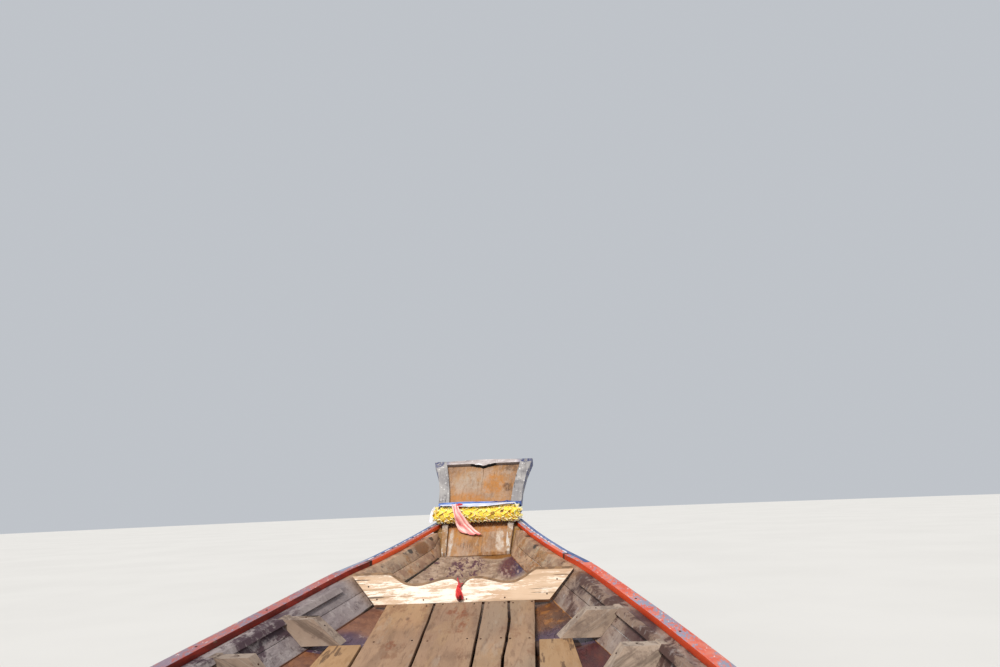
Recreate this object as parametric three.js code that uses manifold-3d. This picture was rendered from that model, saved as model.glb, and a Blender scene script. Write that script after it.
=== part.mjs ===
// Longtail boat: planked open hull, floorboards, benches, canopy, and an engine on a swivel
// and tilt bracket with a long propeller shaft.
// Millimetres. +Y forward to the bow, +X starboard, +Z up. The origin is on the centre plane
// at the waterline, amidships.
import * as THREE from 'three';
import { mergeVertices } from 'three/addons/utils/BufferGeometryUtils.js';
import Module from 'manifold-3d';

const wasm = await Module();
wasm.setup();

// Driving dimensions of the hull
const PLANK = 28;              // thickness of the hull planking
const SEAM = 0.3;              // gap kept between pieces that lie against each other
const CAULK = 0.45;            // half the open seam between two planks
const STERN_Y = -5100;         // aft end of the planking
const TRANSOM_THICK = 34;
const FOOT_Y = 4225;           // forward end of the bottom, where the prow board starts
const SIDE_END_Y = 4340;       // forward end of the side planking
const STATION = 175;           // spacing of the lofted sections
const RAIL_WIDTH = 46;
const RAIL_DEPTH = 21;
const LEDGE = 72;              // from the rail's outer edge in to the planking's inner edge
const RAIL_END_Y = 3790;       // square forward end of the main rail
const STRIP_START_Y = 3627;    // the blue strip is let into the rail's outer edge from here
const STRIP_WIDTH = 24;
const BOW_RAIL_END_Y = 4468;
const BOW_STRIP_END_Y = 4515;
const BOW_RAIL_WIDTH = 20;

// Rail line at the outer top edge: station, half breadth, height
const RAIL_LINE = [
  { y: -5135, half: 500, top: 480 },
  { y: -4300, half: 655, top: 412 },
  { y: -3200, half: 790, top: 345 },
  { y: -1800, half: 890, top: 300 },
  { y: -400, half: 920, top: 290 },
  { y: 1000, half: 905, top: 303 },
  { y: 1900, half: 855, top: 335 },
  { y: 2450, half: 799, top: 373 },
  { y: 2750, half: 748, top: 409 },
  { y: 3150, half: 662, top: 464 },
  { y: 3627, half: 520, top: 549 },
  { y: 3850, half: 436, top: 584 },
  { y: 4150, half: 326, top: 644 },
  { y: 4520, half: 224, top: 711 },
];

// Inner face of the bottom: station, height on the centre line, half breadth and height at the chine
const BOTTOM_LINE = [
  { y: -5100, keel: -45, chine: 372, chineZ: 45 },
  { y: -4200, keel: -90, chine: 505, chineZ: -2 },
  { y: -2800, keel: -122, chine: 625, chineZ: -28 },
  { y: -1200, keel: -134, chine: 682, chineZ: -36 },
  { y: 300, keel: -130, chine: 690, chineZ: -32 },
  { y: 1200, keel: -80, chine: 684, chineZ: 22 },
  { y: 2300, keel: 110, chine: 655, chineZ: 194 },
  { y: 2750, keel: 195, chine: 602, chineZ: 268 },
  { y: 3150, keel: 268, chine: 490, chineZ: 336 },
  { y: 3550, keel: 350, chine: 362, chineZ: 412 },
  { y: 3900, keel: 440, chine: 263, chineZ: 484 },
  { y: 4225, keel: 545, chine: 172, chineZ: 550 },
  { y: 4360, keel: 600, chine: 187, chineZ: 612 },
];

// Floorboards: level amidships, then a straight rise, and a curve up to the bow that it runs into
const FLOOR_Z = 80;
const FLOOR_KNEE_Y = 1400;     // the level part ends here
const FLOOR_RISE_Y = 297;      // lowest point of the bow curve, if it were carried on aft
const FLOOR_RISE = 3.33e-5;
const BOARD = 22;
const FLOOR_FRONT_Y = 3528;    // the centre planks end at the foot of the washboard
const FLOOR_BACK_Y = -4040;
const FLOOR_BUTT_Y = 1422;     // the boards are in two lengths, which meet over a floor timber
const BUTT_GAP = 3;
// The side boards: front end, half breadth forward and how it grows aft of one station, distance off
// the planking, and how much the front end narrows
const SIDE_BOARD = { front: 3152, half: 440, growth: 0.28, station: 2750, off: 12, narrow: 30 };
const CENTRE_PLANKS = [        // left edge and width, left to right
  { name: 'floor_plank_1', left: -293, width: 193 },
  { name: 'floor_plank_2', left: -100, width: 190 },
  { name: 'floor_plank_3', left: 90, width: 98 },
  { name: 'floor_plank_4', left: 188, width: 105 },
];
const PLANK_GAP = 6;

// Frames
const RIB_FIRST_Y = 3150;
const RIB_SPACING = 350;
const RIB_COUNT = 23;
const RIB_THICK = 38;
const RIB_WIDTH_FOOT = 134;
const RIB_WIDTH_TOP = 118;
const FRAME_OFF = 1.5;         // frames stand this far off the planking
const INWALE_WIDTH = 18;
const INWALE_DEPTH = 16;
const TIMBER_THICK = 45;
const KEELSON_WIDTH = 90;
const KEELSON_DROP = 8;        // its top is this far below the floor timbers' top
const KEEL_BACK_Y = -4900;
const KEEL_FRONT_Y = 2275;
const KEEL_WIDTH = 45;
const KEEL_DEPTH = 55;
const KEEL_SHOE = 8;           // depth of the keel at its front end
const KEEL_RISE = 600;         // length over which it comes up to that depth

// Prow: everything here lies on a plane that rises forward from the foot
const PROW_FOOT_Z = 549.5;
const PROW_RAKE = THREE.MathUtils.degToRad(32.5);
const PROW_BOARD = 30;
const POST_PROUD = 20;
const PROW_TOP = 900;
// distance up the board, half width to the post's inner edge and to its outer edge
const PROW_LINE = [
  { s: 0, inner: 146, outer: 167 },
  { s: 140, inner: 152, outer: 179 },
  { s: 300, inner: 158, outer: 190 },
  { s: 370, inner: 164, outer: 205 },
  { s: 450, inner: 170, outer: 229 },
  { s: 580, inner: 181, outer: 237 },
  { s: 740, inner: 202, outer: 261 },
  { s: PROW_TOP, inner: 227, outer: 299 },
];
const CAP_DEPTH = 40;
const CAP_POINT = 18;
const CAP_PEAK = 12;
// The garland is a roll across the posts; its table gives stations across and the share of its radius
const GARLAND = { s: 262, radius: 42 };
const GARLAND_LINE = [
  { x: -232, wide: 0.55 }, { x: -208, wide: 1 }, { x: 202, wide: 1 }, { x: 226, wide: 0.55 },
];
const RIBBON = { steps: [345, 370, 432], proud: 8 };
// The sash hangs over the garland and down the board. Round the roll its place is an angle from the
// board's normal; below the roll it is a distance up the board and out of it. Both have two edges.
const SASH_OVER = [
  { turn: -67.5, left: -122, right: -88 }, { turn: -22.5, left: -126, right: -84 },
  { turn: 22.5, left: -124, right: -76 }, { turn: 67.5, left: -120, right: -60 },
  { turn: 112.5, left: -110, right: -40 },
];
const SASH_TAIL = [
  { s: 190, out: 26, left: -98, right: -12 }, { s: 156, out: 4, left: -88, right: 14 },
  { s: 130, out: 3, left: -46, right: 34 },
];
const SASH_THICK = 14;

// Washboard across the bow, leaning forward
const WASH_FOOT = { y: 3537, z: 424.9, half: 344 };
const WASH_TOP_HALF = 446;
const WASH_HEIGHT = 136;
const WASH_LEAN = THREE.MathUtils.degToRad(30);
const WASH_THICK = 27;
const TASSEL_X = -9;
const TASSEL_OFF = 15.4;       // the tassel's centre line in front of the washboard

// Benches and stern deck
const BENCHES = [
  { name: 'bench_front', y: 250 },
  { name: 'bench_middle', y: -950 },
  { name: 'bench_rear', y: -2150 },
];
const BENCH = { half: 610, deep: 260, thick: 28, top: 285, legHalf: 430, leg: 28 };
const DECK = { front: -4060, back: -4640, top: 330, thick: 24, leg: 24, half: 450, backHalf: 364 };

// Canopy
const CANOPY_POSTS_Y = [-3050, -1450, 150];
const POST_SIZE = 34;
const CANOPY_RAIL_Z = 1560;
const CANOPY_RAIL = 34;
const CANOPY_OVERHANG_Y = 170;
const CANOPY_POST_TOP_IN = 40;
const HOOPS_Y = [-3140, -2070, -990, 90];
const HOOP_RADIUS = 13;
const HOOP_FOOT = { radius: 15, high: 9 };
const RIDGE_RADIUS = 10;       // the batten along the crown that ties the hoops together
const POST_FOOT = { out: 21, in: 24, half: 45, high: 10 };
const ROOF_RISE = 210;
const ROOF_THICK = 12;
const ROOF_OFF = 0.8;          // the cloth stands this far off the hoops
const ROOF_EAVE = 60;
const ROOF_OVERHANG = 40;

// Engine bracket and engine
const PIVOT_Y = -4750;
const BEAM = { deep: 170, high: 105 };
const FLANGE = { half: 125, thick: 12 };
const SOCKET = { outer: 58, inner: 41, high: 122 };
const SPINDLE = 38.5;
const TURNTABLE = { radius: 92, thick: 16 };
const ARM = { inner: 197, thick: 14, deep: 110, above: 40 };
const TILT_Z = 845;
const SHAFT_SLOPE = THREE.MathUtils.degToRad(14);
const SHAFT_Z = 125;           // the shaft's height above the tilt pin
const BED = { outer: 188, wide: 38, high: 56, front: 390, back: -400 };
const TILT_PIN = 17;
const RUNNING = 0.5;           // clearance round a turning pin or shaft
const BLOCK = { half: 128, front: 262, back: -232, bottom: 34, top: 330 };
const HEAD = { half: 88, front: 245, back: -215, top: 432 };
const BELL = [                 // distance aft of the block's back face, radius
  { d: 0, r: 150 }, { d: 45, r: 150 }, { d: 120, r: 92 }, { d: 190, r: 74 }, { d: 190, r: 0 },
];
const TUBE = { radius: 33, end: -2960, sides: 16 };
const DRIVE_SHAFT = 15;
const PROP = { y: -3085, hub: 30, hubLength: 90, radius: 165, blades: 3, chord: 88, thick: 9 };
const PROP_SECTIONS = [        // share of the radius, share of the chord, pitch angle
  { r: 0.1, wide: 0.45, pitch: 62 }, { r: 0.35, wide: 0.85, pitch: 46 }, { r: 0.65, wide: 1, pitch: 32 },
  { r: 0.88, wide: 0.8, pitch: 26 }, { r: 1, wide: 0.35, pitch: 24 },
];
const RADIATOR = { half: 185, thick: 58, low: 70, high: 470 };
const TILLER = { x: -70, z: 250, reach: 1330, drop: 180, radius: 19, grip: 23, gripLength: 190 };

// Small helpers
function smooth(table, key, column) {
  return (at) => {
    let i = 0;
    while (i < table.length - 2 && at > table[i + 1][key]) i += 1;
    const slope = (a, b) => (table[b][column] - table[a][column]) / (table[b][key] - table[a][key]);
    const span = table[i + 1][key] - table[i][key];
    const here = slope(i, i + 1);
    const before = i > 0 ? slope(i - 1, i + 1) : here;
    const after = i < table.length - 2 ? slope(i, i + 2) : here;
    const t = (at - table[i][key]) / span;
    if (t < 0 || t > 1) return table[t < 0 ? i : i + 1][column] + here * span * (t < 0 ? t : t - 1);
    return table[i][column] * (1 + 2 * t) * (1 - t) ** 2 + before * span * t * (1 - t) ** 2
      + table[i + 1][column] * t * t * (3 - 2 * t) - after * span * t * t * (1 - t);
  };
}
const railHalf = smooth(RAIL_LINE, 'y', 'half');
const railTop = smooth(RAIL_LINE, 'y', 'top');
const keelZ = smooth(BOTTOM_LINE, 'y', 'keel');
const chineHalf = smooth(BOTTOM_LINE, 'y', 'chine');
const chineZ = smooth(BOTTOM_LINE, 'y', 'chineZ');
const postInner = smooth(PROW_LINE, 's', 'inner');
const postOuter = smooth(PROW_LINE, 's', 'outer');

function floorZ(y) {
  const meet = 2 * FLOOR_KNEE_Y - FLOOR_RISE_Y;
  const slope = 2 * FLOOR_RISE * (meet - FLOOR_RISE_Y);
  if (y < meet) return FLOOR_Z + slope * Math.max(0, y - FLOOR_KNEE_Y);
  return FLOOR_Z + FLOOR_RISE * (y - FLOOR_RISE_Y) ** 2;
}

function range(from, to, step) {
  const count = Math.max(1, Math.round(Math.abs(to - from) / step));
  return Array.from({ length: count + 1 }, (_, i) => from + ((to - from) * i) / count);
}

// The stations between two ends: the ends themselves and the shared grid, which passes the frames
function stations(from, to) {
  const first = RIB_FIRST_Y - Math.ceil((RIB_FIRST_Y - from) / STATION) * STATION;
  const grid = [...range(first, to, STATION).map((_, i) => first + i * STATION), FOOT_Y - SEAM];
  const inside = grid.filter((y) => y > from + 5 && y < to - 5).sort((a, b) => a - b);
  return [from, ...inside, to];
}

// A closed body through rings of points, each ring a closed loop with the same number of points.
// The sides named in crossed are split along their other diagonal, to match a neighbour's face.
function loft(rings, crossed = []) {
  const count = rings[0].length;
  const position = rings.flat(2);
  const index = [];
  for (let r = 0; r < rings.length - 1; r += 1) {
    for (let i = 0; i < count; i += 1) {
      const a = r * count + i;
      const b = r * count + ((i + 1) % count);
      if (crossed.includes(i)) index.push(a, b, a + count, b, b + count, a + count);
      else index.push(a, b, b + count, a, b + count, a + count);
    }
  }
  for (const r of [0, rings.length - 1]) {
    const spread = [0, 1, 2].map((axis) => {
      const values = rings[r].map((p) => p[axis]);
      return Math.max(...values) - Math.min(...values);
    });
    const drop = spread.indexOf(Math.min(...spread));
    const [u, v] = [0, 1, 2].filter((axis) => axis !== drop);
    const flat = rings[r].map((p) => new THREE.Vector2(p[u], p[v]));
    for (const face of THREE.ShapeUtils.triangulateShape(flat, [])) {
      index.push(...face.map((i) => r * count + i));
    }
  }
  const geometry = new THREE.BufferGeometry();
  geometry.setAttribute('position', new THREE.Float32BufferAttribute(position, 3));
  geometry.setIndex(index);
  return outward(geometry);
}

// Turns the faces round where the body came out inside out, and fixes mixed caps
function outward(geometry) {
  const p = geometry.getAttribute('position');
  const index = Array.from(geometry.getIndex().array);
  const owner = new Map();
  for (let t = 0; t < index.length; t += 3) {
    for (let e = 0; e < 3; e += 1) {
      const key = [index[t + e], index[t + ((e + 1) % 3)]].sort((a, b) => a - b).join();
      owner.set(key, [...(owner.get(key) ?? []), t]);
    }
  }
  const edges = (t) => [0, 1, 2].map((e) => [index[t + e], index[t + ((e + 1) % 3)]]);
  const seen = new Set([0]);
  const queue = [0];
  while (queue.length) {
    const t = queue.pop();
    for (const [a, b] of edges(t)) {
      for (const other of owner.get([a, b].sort((m, n) => m - n).join())) {
        if (seen.has(other)) continue;
        if (edges(other).some(([m, n]) => m === a && n === b)) {
          [index[other + 1], index[other + 2]] = [index[other + 2], index[other + 1]];
        }
        seen.add(other);
        queue.push(other);
      }
    }
  }
  let volume = 0;
  const at = (i) => new THREE.Vector3().fromBufferAttribute(p, i);
  for (let t = 0; t < index.length; t += 3) {
    volume += at(index[t]).dot(at(index[t + 1]).cross(at(index[t + 2])));
  }
  if (volume < 0) index.reverse();
  geometry.setIndex(index);
  return geometry;
}

function solid(geometry) {
  const merged = bare(geometry);
  return new wasm.Manifold(new wasm.Mesh({
    numProp: 3,
    vertProperties: new Float32Array(merged.getAttribute('position').array),
    triVerts: new Uint32Array(merged.getIndex().array),
  }));
}

function toGeometry(manifold) {
  const mesh = manifold.getMesh();
  const geometry = new THREE.BufferGeometry();
  geometry.setAttribute('position', new THREE.BufferAttribute(new Float32Array(mesh.vertProperties), 3));
  geometry.setIndex(new THREE.BufferAttribute(new Uint32Array(mesh.triVerts), 1));
  return geometry;
}

function join(pieces) {
  return toGeometry(pieces.map(solid).reduce((a, b) => a.add(b)));
}

function cut(body, tools) {
  return toGeometry(tools.map(solid).reduce((a, b) => a.subtract(b), solid(body)));
}

function block(x0, x1, y0, y1, z0, z1) {
  const geometry = new THREE.BoxGeometry(x1 - x0, y1 - y0, z1 - z0);
  return geometry.translate((x0 + x1) / 2, (y0 + y1) / 2, (z0 + z1) / 2);
}

// A cylinder along X, Y or Z between two coordinates on that axis
function rod(axis, from, to, radius, at = [0, 0], sides = 20) {
  const geometry = new THREE.CylinderGeometry(radius, radius, Math.abs(to - from), sides);
  const middle = (from + to) / 2;
  if (axis === 'x') return geometry.rotateZ(Math.PI / 2).translate(middle, at[0], at[1]);
  if (axis === 'y') return geometry.translate(at[0], middle, at[1]);
  return geometry.rotateX(Math.PI / 2).translate(at[0], at[1], middle);
}

function plate(points, thick) {
  const shape = new THREE.Shape(points.map(([x, y]) => new THREE.Vector2(x, y)));
  return new THREE.ExtrudeGeometry(shape, { depth: thick, bevelEnabled: false, curveSegments: 8 });
}

function bare(geometry) {
  const copy = new THREE.BufferGeometry();
  copy.setAttribute('position', geometry.getAttribute('position').clone());
  if (geometry.getIndex()) copy.setIndex(geometry.getIndex().clone());
  return mergeVertices(copy, 1e-4);
}

function mirror(geometry) {
  return outward(bare(geometry).scale(-1, 1, 1));
}

// A body of revolution about the Y axis from [distance, radius] points
function turned(profile, sides = 24) {
  const points = profile.map(([d, r]) => new THREE.Vector2(r, d));
  return toGeometry(wholeSolid(new THREE.LatheGeometry(points, sides)));
}

function wholeSolid(geometry) {
  const merged = bare(geometry);
  const index = Array.from(merged.getIndex().array);
  const kept = [];
  for (let t = 0; t < index.length; t += 3) {
    const [a, b, c] = index.slice(t, t + 3);
    if (a !== b && b !== c && c !== a) kept.push(a, b, c);
  }
  merged.setIndex(kept);
  return solid(outward(merged));
}

function bend(points, radius, sides = 10, steps = 24) {
  const curve = new THREE.CatmullRomCurve3(points.map((p) => new THREE.Vector3(...p)));
  const ring = new THREE.Shape();
  ring.absarc(0, 0, radius, 0, Math.PI * 2);
  const options = { steps, curveSegments: sides, bevelEnabled: false, extrudePath: curve };
  return new THREE.ExtrudeGeometry(ring, options);
}

// Materials
const COLOURS = {
  hull_paint: [0x6a6f66, 0.75, 0], plank: [0x8a7c6c, 0.8, 0], rail: [0xc8452c, 0.6, 0],
  strip: [0x5b74a8, 0.6, 0], prow: [0xa9794a, 0.75, 0], post: [0xa7a39c, 0.8, 0],
  washboard: [0xe2d3b4, 0.7, 0], floor: [0x9c8468, 0.8, 0], frame: [0x857a6e, 0.85, 0],
  bench: [0x9a6b3f, 0.6, 0], canvas: [0x3f6f8f, 0.8, 0], tube: [0xb9bcbd, 0.4, 0.8],
  steel: [0x6d6f70, 0.5, 0.7], engine: [0x3f5d4a, 0.5, 0.4], rubber: [0x1c1c1c, 0.8, 0],
  brass: [0xb08d4a, 0.35, 0.9], flower: [0xe9cf3c, 0.9, 0], ribbon: [0x8fa6d8, 0.7, 0],
  pink: [0xe37a7d, 0.8, 0], red: [0xb5242a, 0.8, 0], radiator: [0x2b2d2f, 0.6, 0.5],
};

function part(name, geometry, colour) {
  const [color, roughness, metalness] = COLOURS[colour];
  const mesh = new THREE.Mesh(geometry, new THREE.MeshStandardMaterial({ color, roughness, metalness }));
  mesh.name = name;
  return mesh;
}

function pair(group, name, right, colour) {
  group.add(part(`${name}_right`, right, colour), part(`${name}_left`, mirror(right), colour));
}

// Hull sections: the inner line from the centre out to the rail, and the outer line around it
function innerLine(y) {
  const sheer = railHalf(y) - LEDGE;
  const sheerZ = railTop(y) - RAIL_DEPTH - SEAM;
  const chine = chineHalf(y);
  return [
    [0, keelZ(y)], [chine / 2, (keelZ(y) + chineZ(y)) / 2 - 0.02 * chine], [chine, chineZ(y)],
    [(chine + sheer) / 2, (chineZ(y) + sheerZ) / 2], [sheer, sheerZ],
  ];
}

function outerLine(y) {
  const inner = innerLine(y);
  return inner.map((point, i) => {
    const before = inner[Math.max(0, i - 1)];
    const after = inner[Math.min(inner.length - 1, i + 1)];
    const normal = (a, b) => {
      const length = Math.hypot(b[0] - a[0], b[1] - a[1]);
      return [(b[1] - a[1]) / length, -(b[0] - a[0]) / length];
    };
    if (i === 0) return [0, point[1] - PLANK];
    const n1 = normal(before, point);
    if (i === inner.length - 1) return [point[0] + PLANK / n1[0], point[1]];
    const n2 = normal(point, after);
    const scale = PLANK / (1 + n1[0] * n2[0] + n1[1] * n2[1]);
    return [point[0] + (n1[0] + n2[0]) * scale, point[1] + (n1[1] + n2[1]) * scale];
  });
}

// Half breadth of the inner face at a height
function innerHalf(y, z) {
  const line = innerLine(y);
  for (let i = 1; i < line.length; i += 1) {
    if (z <= line[i][1]) {
      const t = (z - line[i - 1][1]) / (line[i][1] - line[i - 1][1]);
      return line[i - 1][0] + t * (line[i][0] - line[i - 1][0]);
    }
  }
  return line[line.length - 1][0];
}

function between(a, b, t) {
  return [a[0] + (b[0] - a[0]) * t, a[1] + (b[1] - a[1]) * t];
}

// One strake of the starboard side, between two points of the section lines
function strake(low, high, from, to) {
  const rings = stations(from, to).map((y) => {
    const inner = innerLine(y);
    const outer = outerLine(y);
    const trim = CAULK / Math.hypot(inner[high][0] - inner[low][0], inner[high][1] - inner[low][1]);
    const ends = [between(inner[low], inner[high], trim), between(inner[low], inner[high], 1 - trim),
      between(outer[low], outer[high], 1 - trim), between(outer[low], outer[high], trim)];
    return ends.map(([x, z]) => [x, y, z]);
  });
  return loft(rings, [3]);
}

function bottom() {
  const rings = stations(STERN_Y, FOOT_Y - SEAM).map((y) => {
    const inner = innerLine(y).slice(0, 3);
    const outer = outerLine(y).slice(0, 3);
    const trim = CAULK / Math.hypot(inner[2][0] - inner[1][0], inner[2][1] - inner[1][1]);
    inner[2] = between(inner[2], inner[1], trim);
    outer[2] = between(outer[2], outer[1], trim);
    const half = [...inner, ...outer.reverse()];
    const left = half.slice(1, 5).map(([x, z]) => [-x, z]).reverse();
    return [...half, ...left].map(([x, z]) => [x, y, z]);
  });
  return loft(rings);
}

function hull(group) {
  group.add(part('bottom_planks', bottom(), 'hull_paint'));
  pair(group, 'bilge_strake', strake(2, 3, STERN_Y, SIDE_END_Y), 'hull_paint');
  pair(group, 'topside_strake', strake(3, 4, STERN_Y, SIDE_END_Y), 'hull_paint');
  group.add(part('transom', transom(), 'hull_paint'), part('keel', keel(), 'hull_paint'));
}

function transom() {
  const outer = outerLine(STERN_Y);
  const top = railTop(STERN_Y) - RAIL_DEPTH - SEAM;
  const right = [...outer.slice(0, 4), [outer[4][0], top]];
  const left = right.slice(1).map(([x, z]) => [-x, z]).reverse();
  return plate([...right, ...left], TRANSOM_THICK).rotateX(Math.PI / 2).translate(0, STERN_Y - SEAM, 0);
}

function keel() {
  const rings = stations(KEEL_BACK_Y, KEEL_FRONT_Y).map((y) => {
    const top = keelZ(y) - PLANK - SEAM;
    const share = Math.min(1, (KEEL_FRONT_Y - y) / KEEL_RISE);
    const low = top - KEEL_SHOE - (KEEL_DEPTH - KEEL_SHOE) * share;
    const half = KEEL_WIDTH / 2;
    return [[-half, y, top], [half, y, top], [half * 0.8, y, low], [-half * 0.8, y, low]];
  });
  return loft(rings);
}

// A strip along the rail, from an inner to an outer distance in from the rail's outer edge
function railStrip(from, to, outerIn, innerIn, lift = 0) {
  return loft(stations(from, to).map((y) => {
    const half = railHalf(y);
    const top = railTop(y) + lift;
    return [[half - innerIn, y, top - RAIL_DEPTH], [half - outerIn, y, top - RAIL_DEPTH],
      [half - outerIn, y, top], [half - innerIn, y, top]];
  }));
}

function rails(group) {
  const main = [railStrip(STERN_Y - TRANSOM_THICK, STRIP_START_Y, 0, RAIL_WIDTH),
    railStrip(STRIP_START_Y - 1, RAIL_END_Y, STRIP_WIDTH + SEAM, RAIL_WIDTH)];
  pair(group, 'gunwale', join(main), 'rail');
  const redOuter = STRIP_WIDTH + SEAM;
  const bowRail = railStrip(RAIL_END_Y + SEAM, BOW_RAIL_END_Y, redOuter, redOuter + BOW_RAIL_WIDTH);
  pair(group, 'bow_rail', bowRail, 'rail');
  pair(group, 'bow_strip', railStrip(STRIP_START_Y + SEAM, BOW_STRIP_END_Y, 0, STRIP_WIDTH), 'strip');
}

// A floorboard from one straight edge to another edge that may follow the hull
function floorStrip(ys, left, rightAt) {
  return loft(ys.map((y) => {
    const top = floorZ(y);
    const right = rightAt(y);
    return [[left, y, top - BOARD], [right, y, top - BOARD], [right, y, top], [left, y, top]];
  }));
}

function floor(group) {
  const foreYs = (front) => stations(FLOOR_BUTT_Y + BUTT_GAP / 2, front);
  const aftYs = [FLOOR_BACK_Y, FLOOR_KNEE_Y, FLOOR_BUTT_Y - BUTT_GAP / 2];
  for (const { name, left, width } of CENTRE_PLANKS) {
    const right = left + width - PLANK_GAP;
    group.add(part(name, floorStrip(foreYs(FLOOR_FRONT_Y), left, () => right), 'floor'));
    group.add(part(`${name}_aft`, floorStrip(aftYs, left, () => right), 'floor'));
  }
  const { front, half, growth, station, off, narrow } = SIDE_BOARD;
  const outer = (y) => {
    const wide = Math.min(half + growth * Math.max(0, station - y), innerHalf(y, floorZ(y) - BOARD) - off);
    return wide - narrow * Math.max(0, (y - station) / (front - station));
  };
  const inner = PLANK_GAP - CENTRE_PLANKS[0].left;
  const sideYs = [...range(FLOOR_BACK_Y, FLOOR_KNEE_Y, STATION * 3), FLOOR_BUTT_Y - BUTT_GAP / 2];
  pair(group, 'side_floorboard', floorStrip(foreYs(front), inner, outer), 'floor');
  pair(group, 'side_floorboard_aft', floorStrip(sideYs, inner, outer), 'floor');
}

function ribStations() {
  return Array.from({ length: RIB_COUNT }, (_, i) => RIB_FIRST_Y - i * RIB_SPACING);
}

function ribArm(y0) {
  const ring = (y) => {
    const foot = floorZ(y) + SEAM;
    const top = railTop(y) - RAIL_DEPTH - 6;
    const wall = (z) => innerHalf(y, z) - FRAME_OFF;
    return [[wall(foot) - RIB_WIDTH_FOOT, y, foot], [wall(foot), y, foot],
      [wall(top), y, top], [wall(top) - RIB_WIDTH_TOP, y, top]];
  };
  return loft([ring(y0), ring(y0 + RIB_THICK)]);
}

function sideFrames(group) {
  const first = RIB_FIRST_Y - (RIB_COUNT - 1) * RIB_SPACING;
  const inwale = loft(stations(first, RIB_FIRST_Y + RIB_THICK + 300).map((y) => {
    const top = railTop(y) - RAIL_DEPTH - 2;
    const wall = (z) => innerHalf(y, z) - FRAME_OFF;
    const low = top - INWALE_DEPTH;
    return [[wall(low) - INWALE_WIDTH, y, low], [wall(low), y, low],
      [wall(top), y, top], [wall(top) - INWALE_WIDTH, y, top]];
  }));
  pair(group, 'side_frames', join([inwale, ...ribStations().map(ribArm)]), 'frame');
}

function floorTimbers(group) {
  const timber = (y0) => {
    const ring = (y) => {
      const top = floorZ(y) - BOARD - SEAM;
      const low = innerLine(y).slice(0, 3).filter((p) => p[1] + FRAME_OFF < top - 1);
      const end = [innerHalf(y, top - FRAME_OFF) - 2, y, top];
      const right = [...low.map(([x, z]) => [x, y, z + FRAME_OFF]), end];
      return [...right, ...right.slice(1).map(([x, , z]) => [-x, y, z]).reverse()];
    };
    const rings = [ring(y0), ring(y0 + TIMBER_THICK)];
    return rings[0].length === rings[1].length ? loft(rings) : null;
  };
  const first = RIB_FIRST_Y - (RIB_COUNT - 1) * RIB_SPACING;
  const half = KEELSON_WIDTH / 2;
  const keelson = loft(stations(first, RIB_FIRST_Y + 250).map((y) => {
    const low = clearOfBottom(y, half);
    const top = floorZ(y) - BOARD - SEAM - KEELSON_DROP;
    return [[-half, y, low], [half, y, low], [half, y, top], [-half, y, top]];
  }));
  group.add(part('floor_timbers', join([keelson, ...ribStations().map(timber).filter(Boolean)]), 'frame'));
}

// The prow's pieces lie in the raked plane: x across, y up the board, z out of its face
function prow(group) {
  const raked = new THREE.Group();
  raked.position.set(0, FOOT_Y, PROW_FOOT_Z);
  raked.rotation.x = PROW_RAKE;
  const steps = PROW_LINE.map(({ s }) => s);
  const edge = (at, inset) => steps.map((s) => [at(s) - inset, s]);
  const mirrored = (points) => points.map(([x, s]) => [-x, s]).reverse();
  const boardEdge = edge(postInner, SEAM);
  const board = plate([...boardEdge, ...mirrored(boardEdge)], PROW_BOARD).translate(0, 0, -PROW_BOARD);
  const postEdge = [...edge(postInner, 0), ...edge(postOuter, 0).reverse()];
  const post = bare(plate(postEdge, PROW_BOARD + POST_PROUD).translate(0, 0, -PROW_BOARD));
  const low = PROW_TOP - CAP_DEPTH;
  const half = postInner(low) - SEAM;
  const cap = plate([[-half, low], [-60, low - 2], [-30, low - 8], [0, low - CAP_POINT], [30, low - 8],
    [60, low - 2], [half, low], [postInner(PROW_TOP) - SEAM, PROW_TOP - SEAM], [0, PROW_TOP + CAP_PEAK],
    [-postInner(PROW_TOP) + SEAM, PROW_TOP - SEAM]], POST_PROUD).translate(0, 0, SEAM);
  raked.add(part('prow_board', board, 'prow'), part('prow_cap', cap, 'post'));
  pair(raked, 'prow_post', post, 'post');
  sashes(raked);
  group.add(raked);
}

// Half width to the posts' outer edge, which is straight from one row of the table to the next
function postEdgeHalf(at) {
  const i = PROW_LINE.findIndex(({ s }, k) => k > 0 && at <= s);
  const [a, b] = [PROW_LINE[i - 1], PROW_LINE[i]];
  return a.outer + ((b.outer - a.outer) * (at - a.s)) / (b.s - a.s);
}

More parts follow.
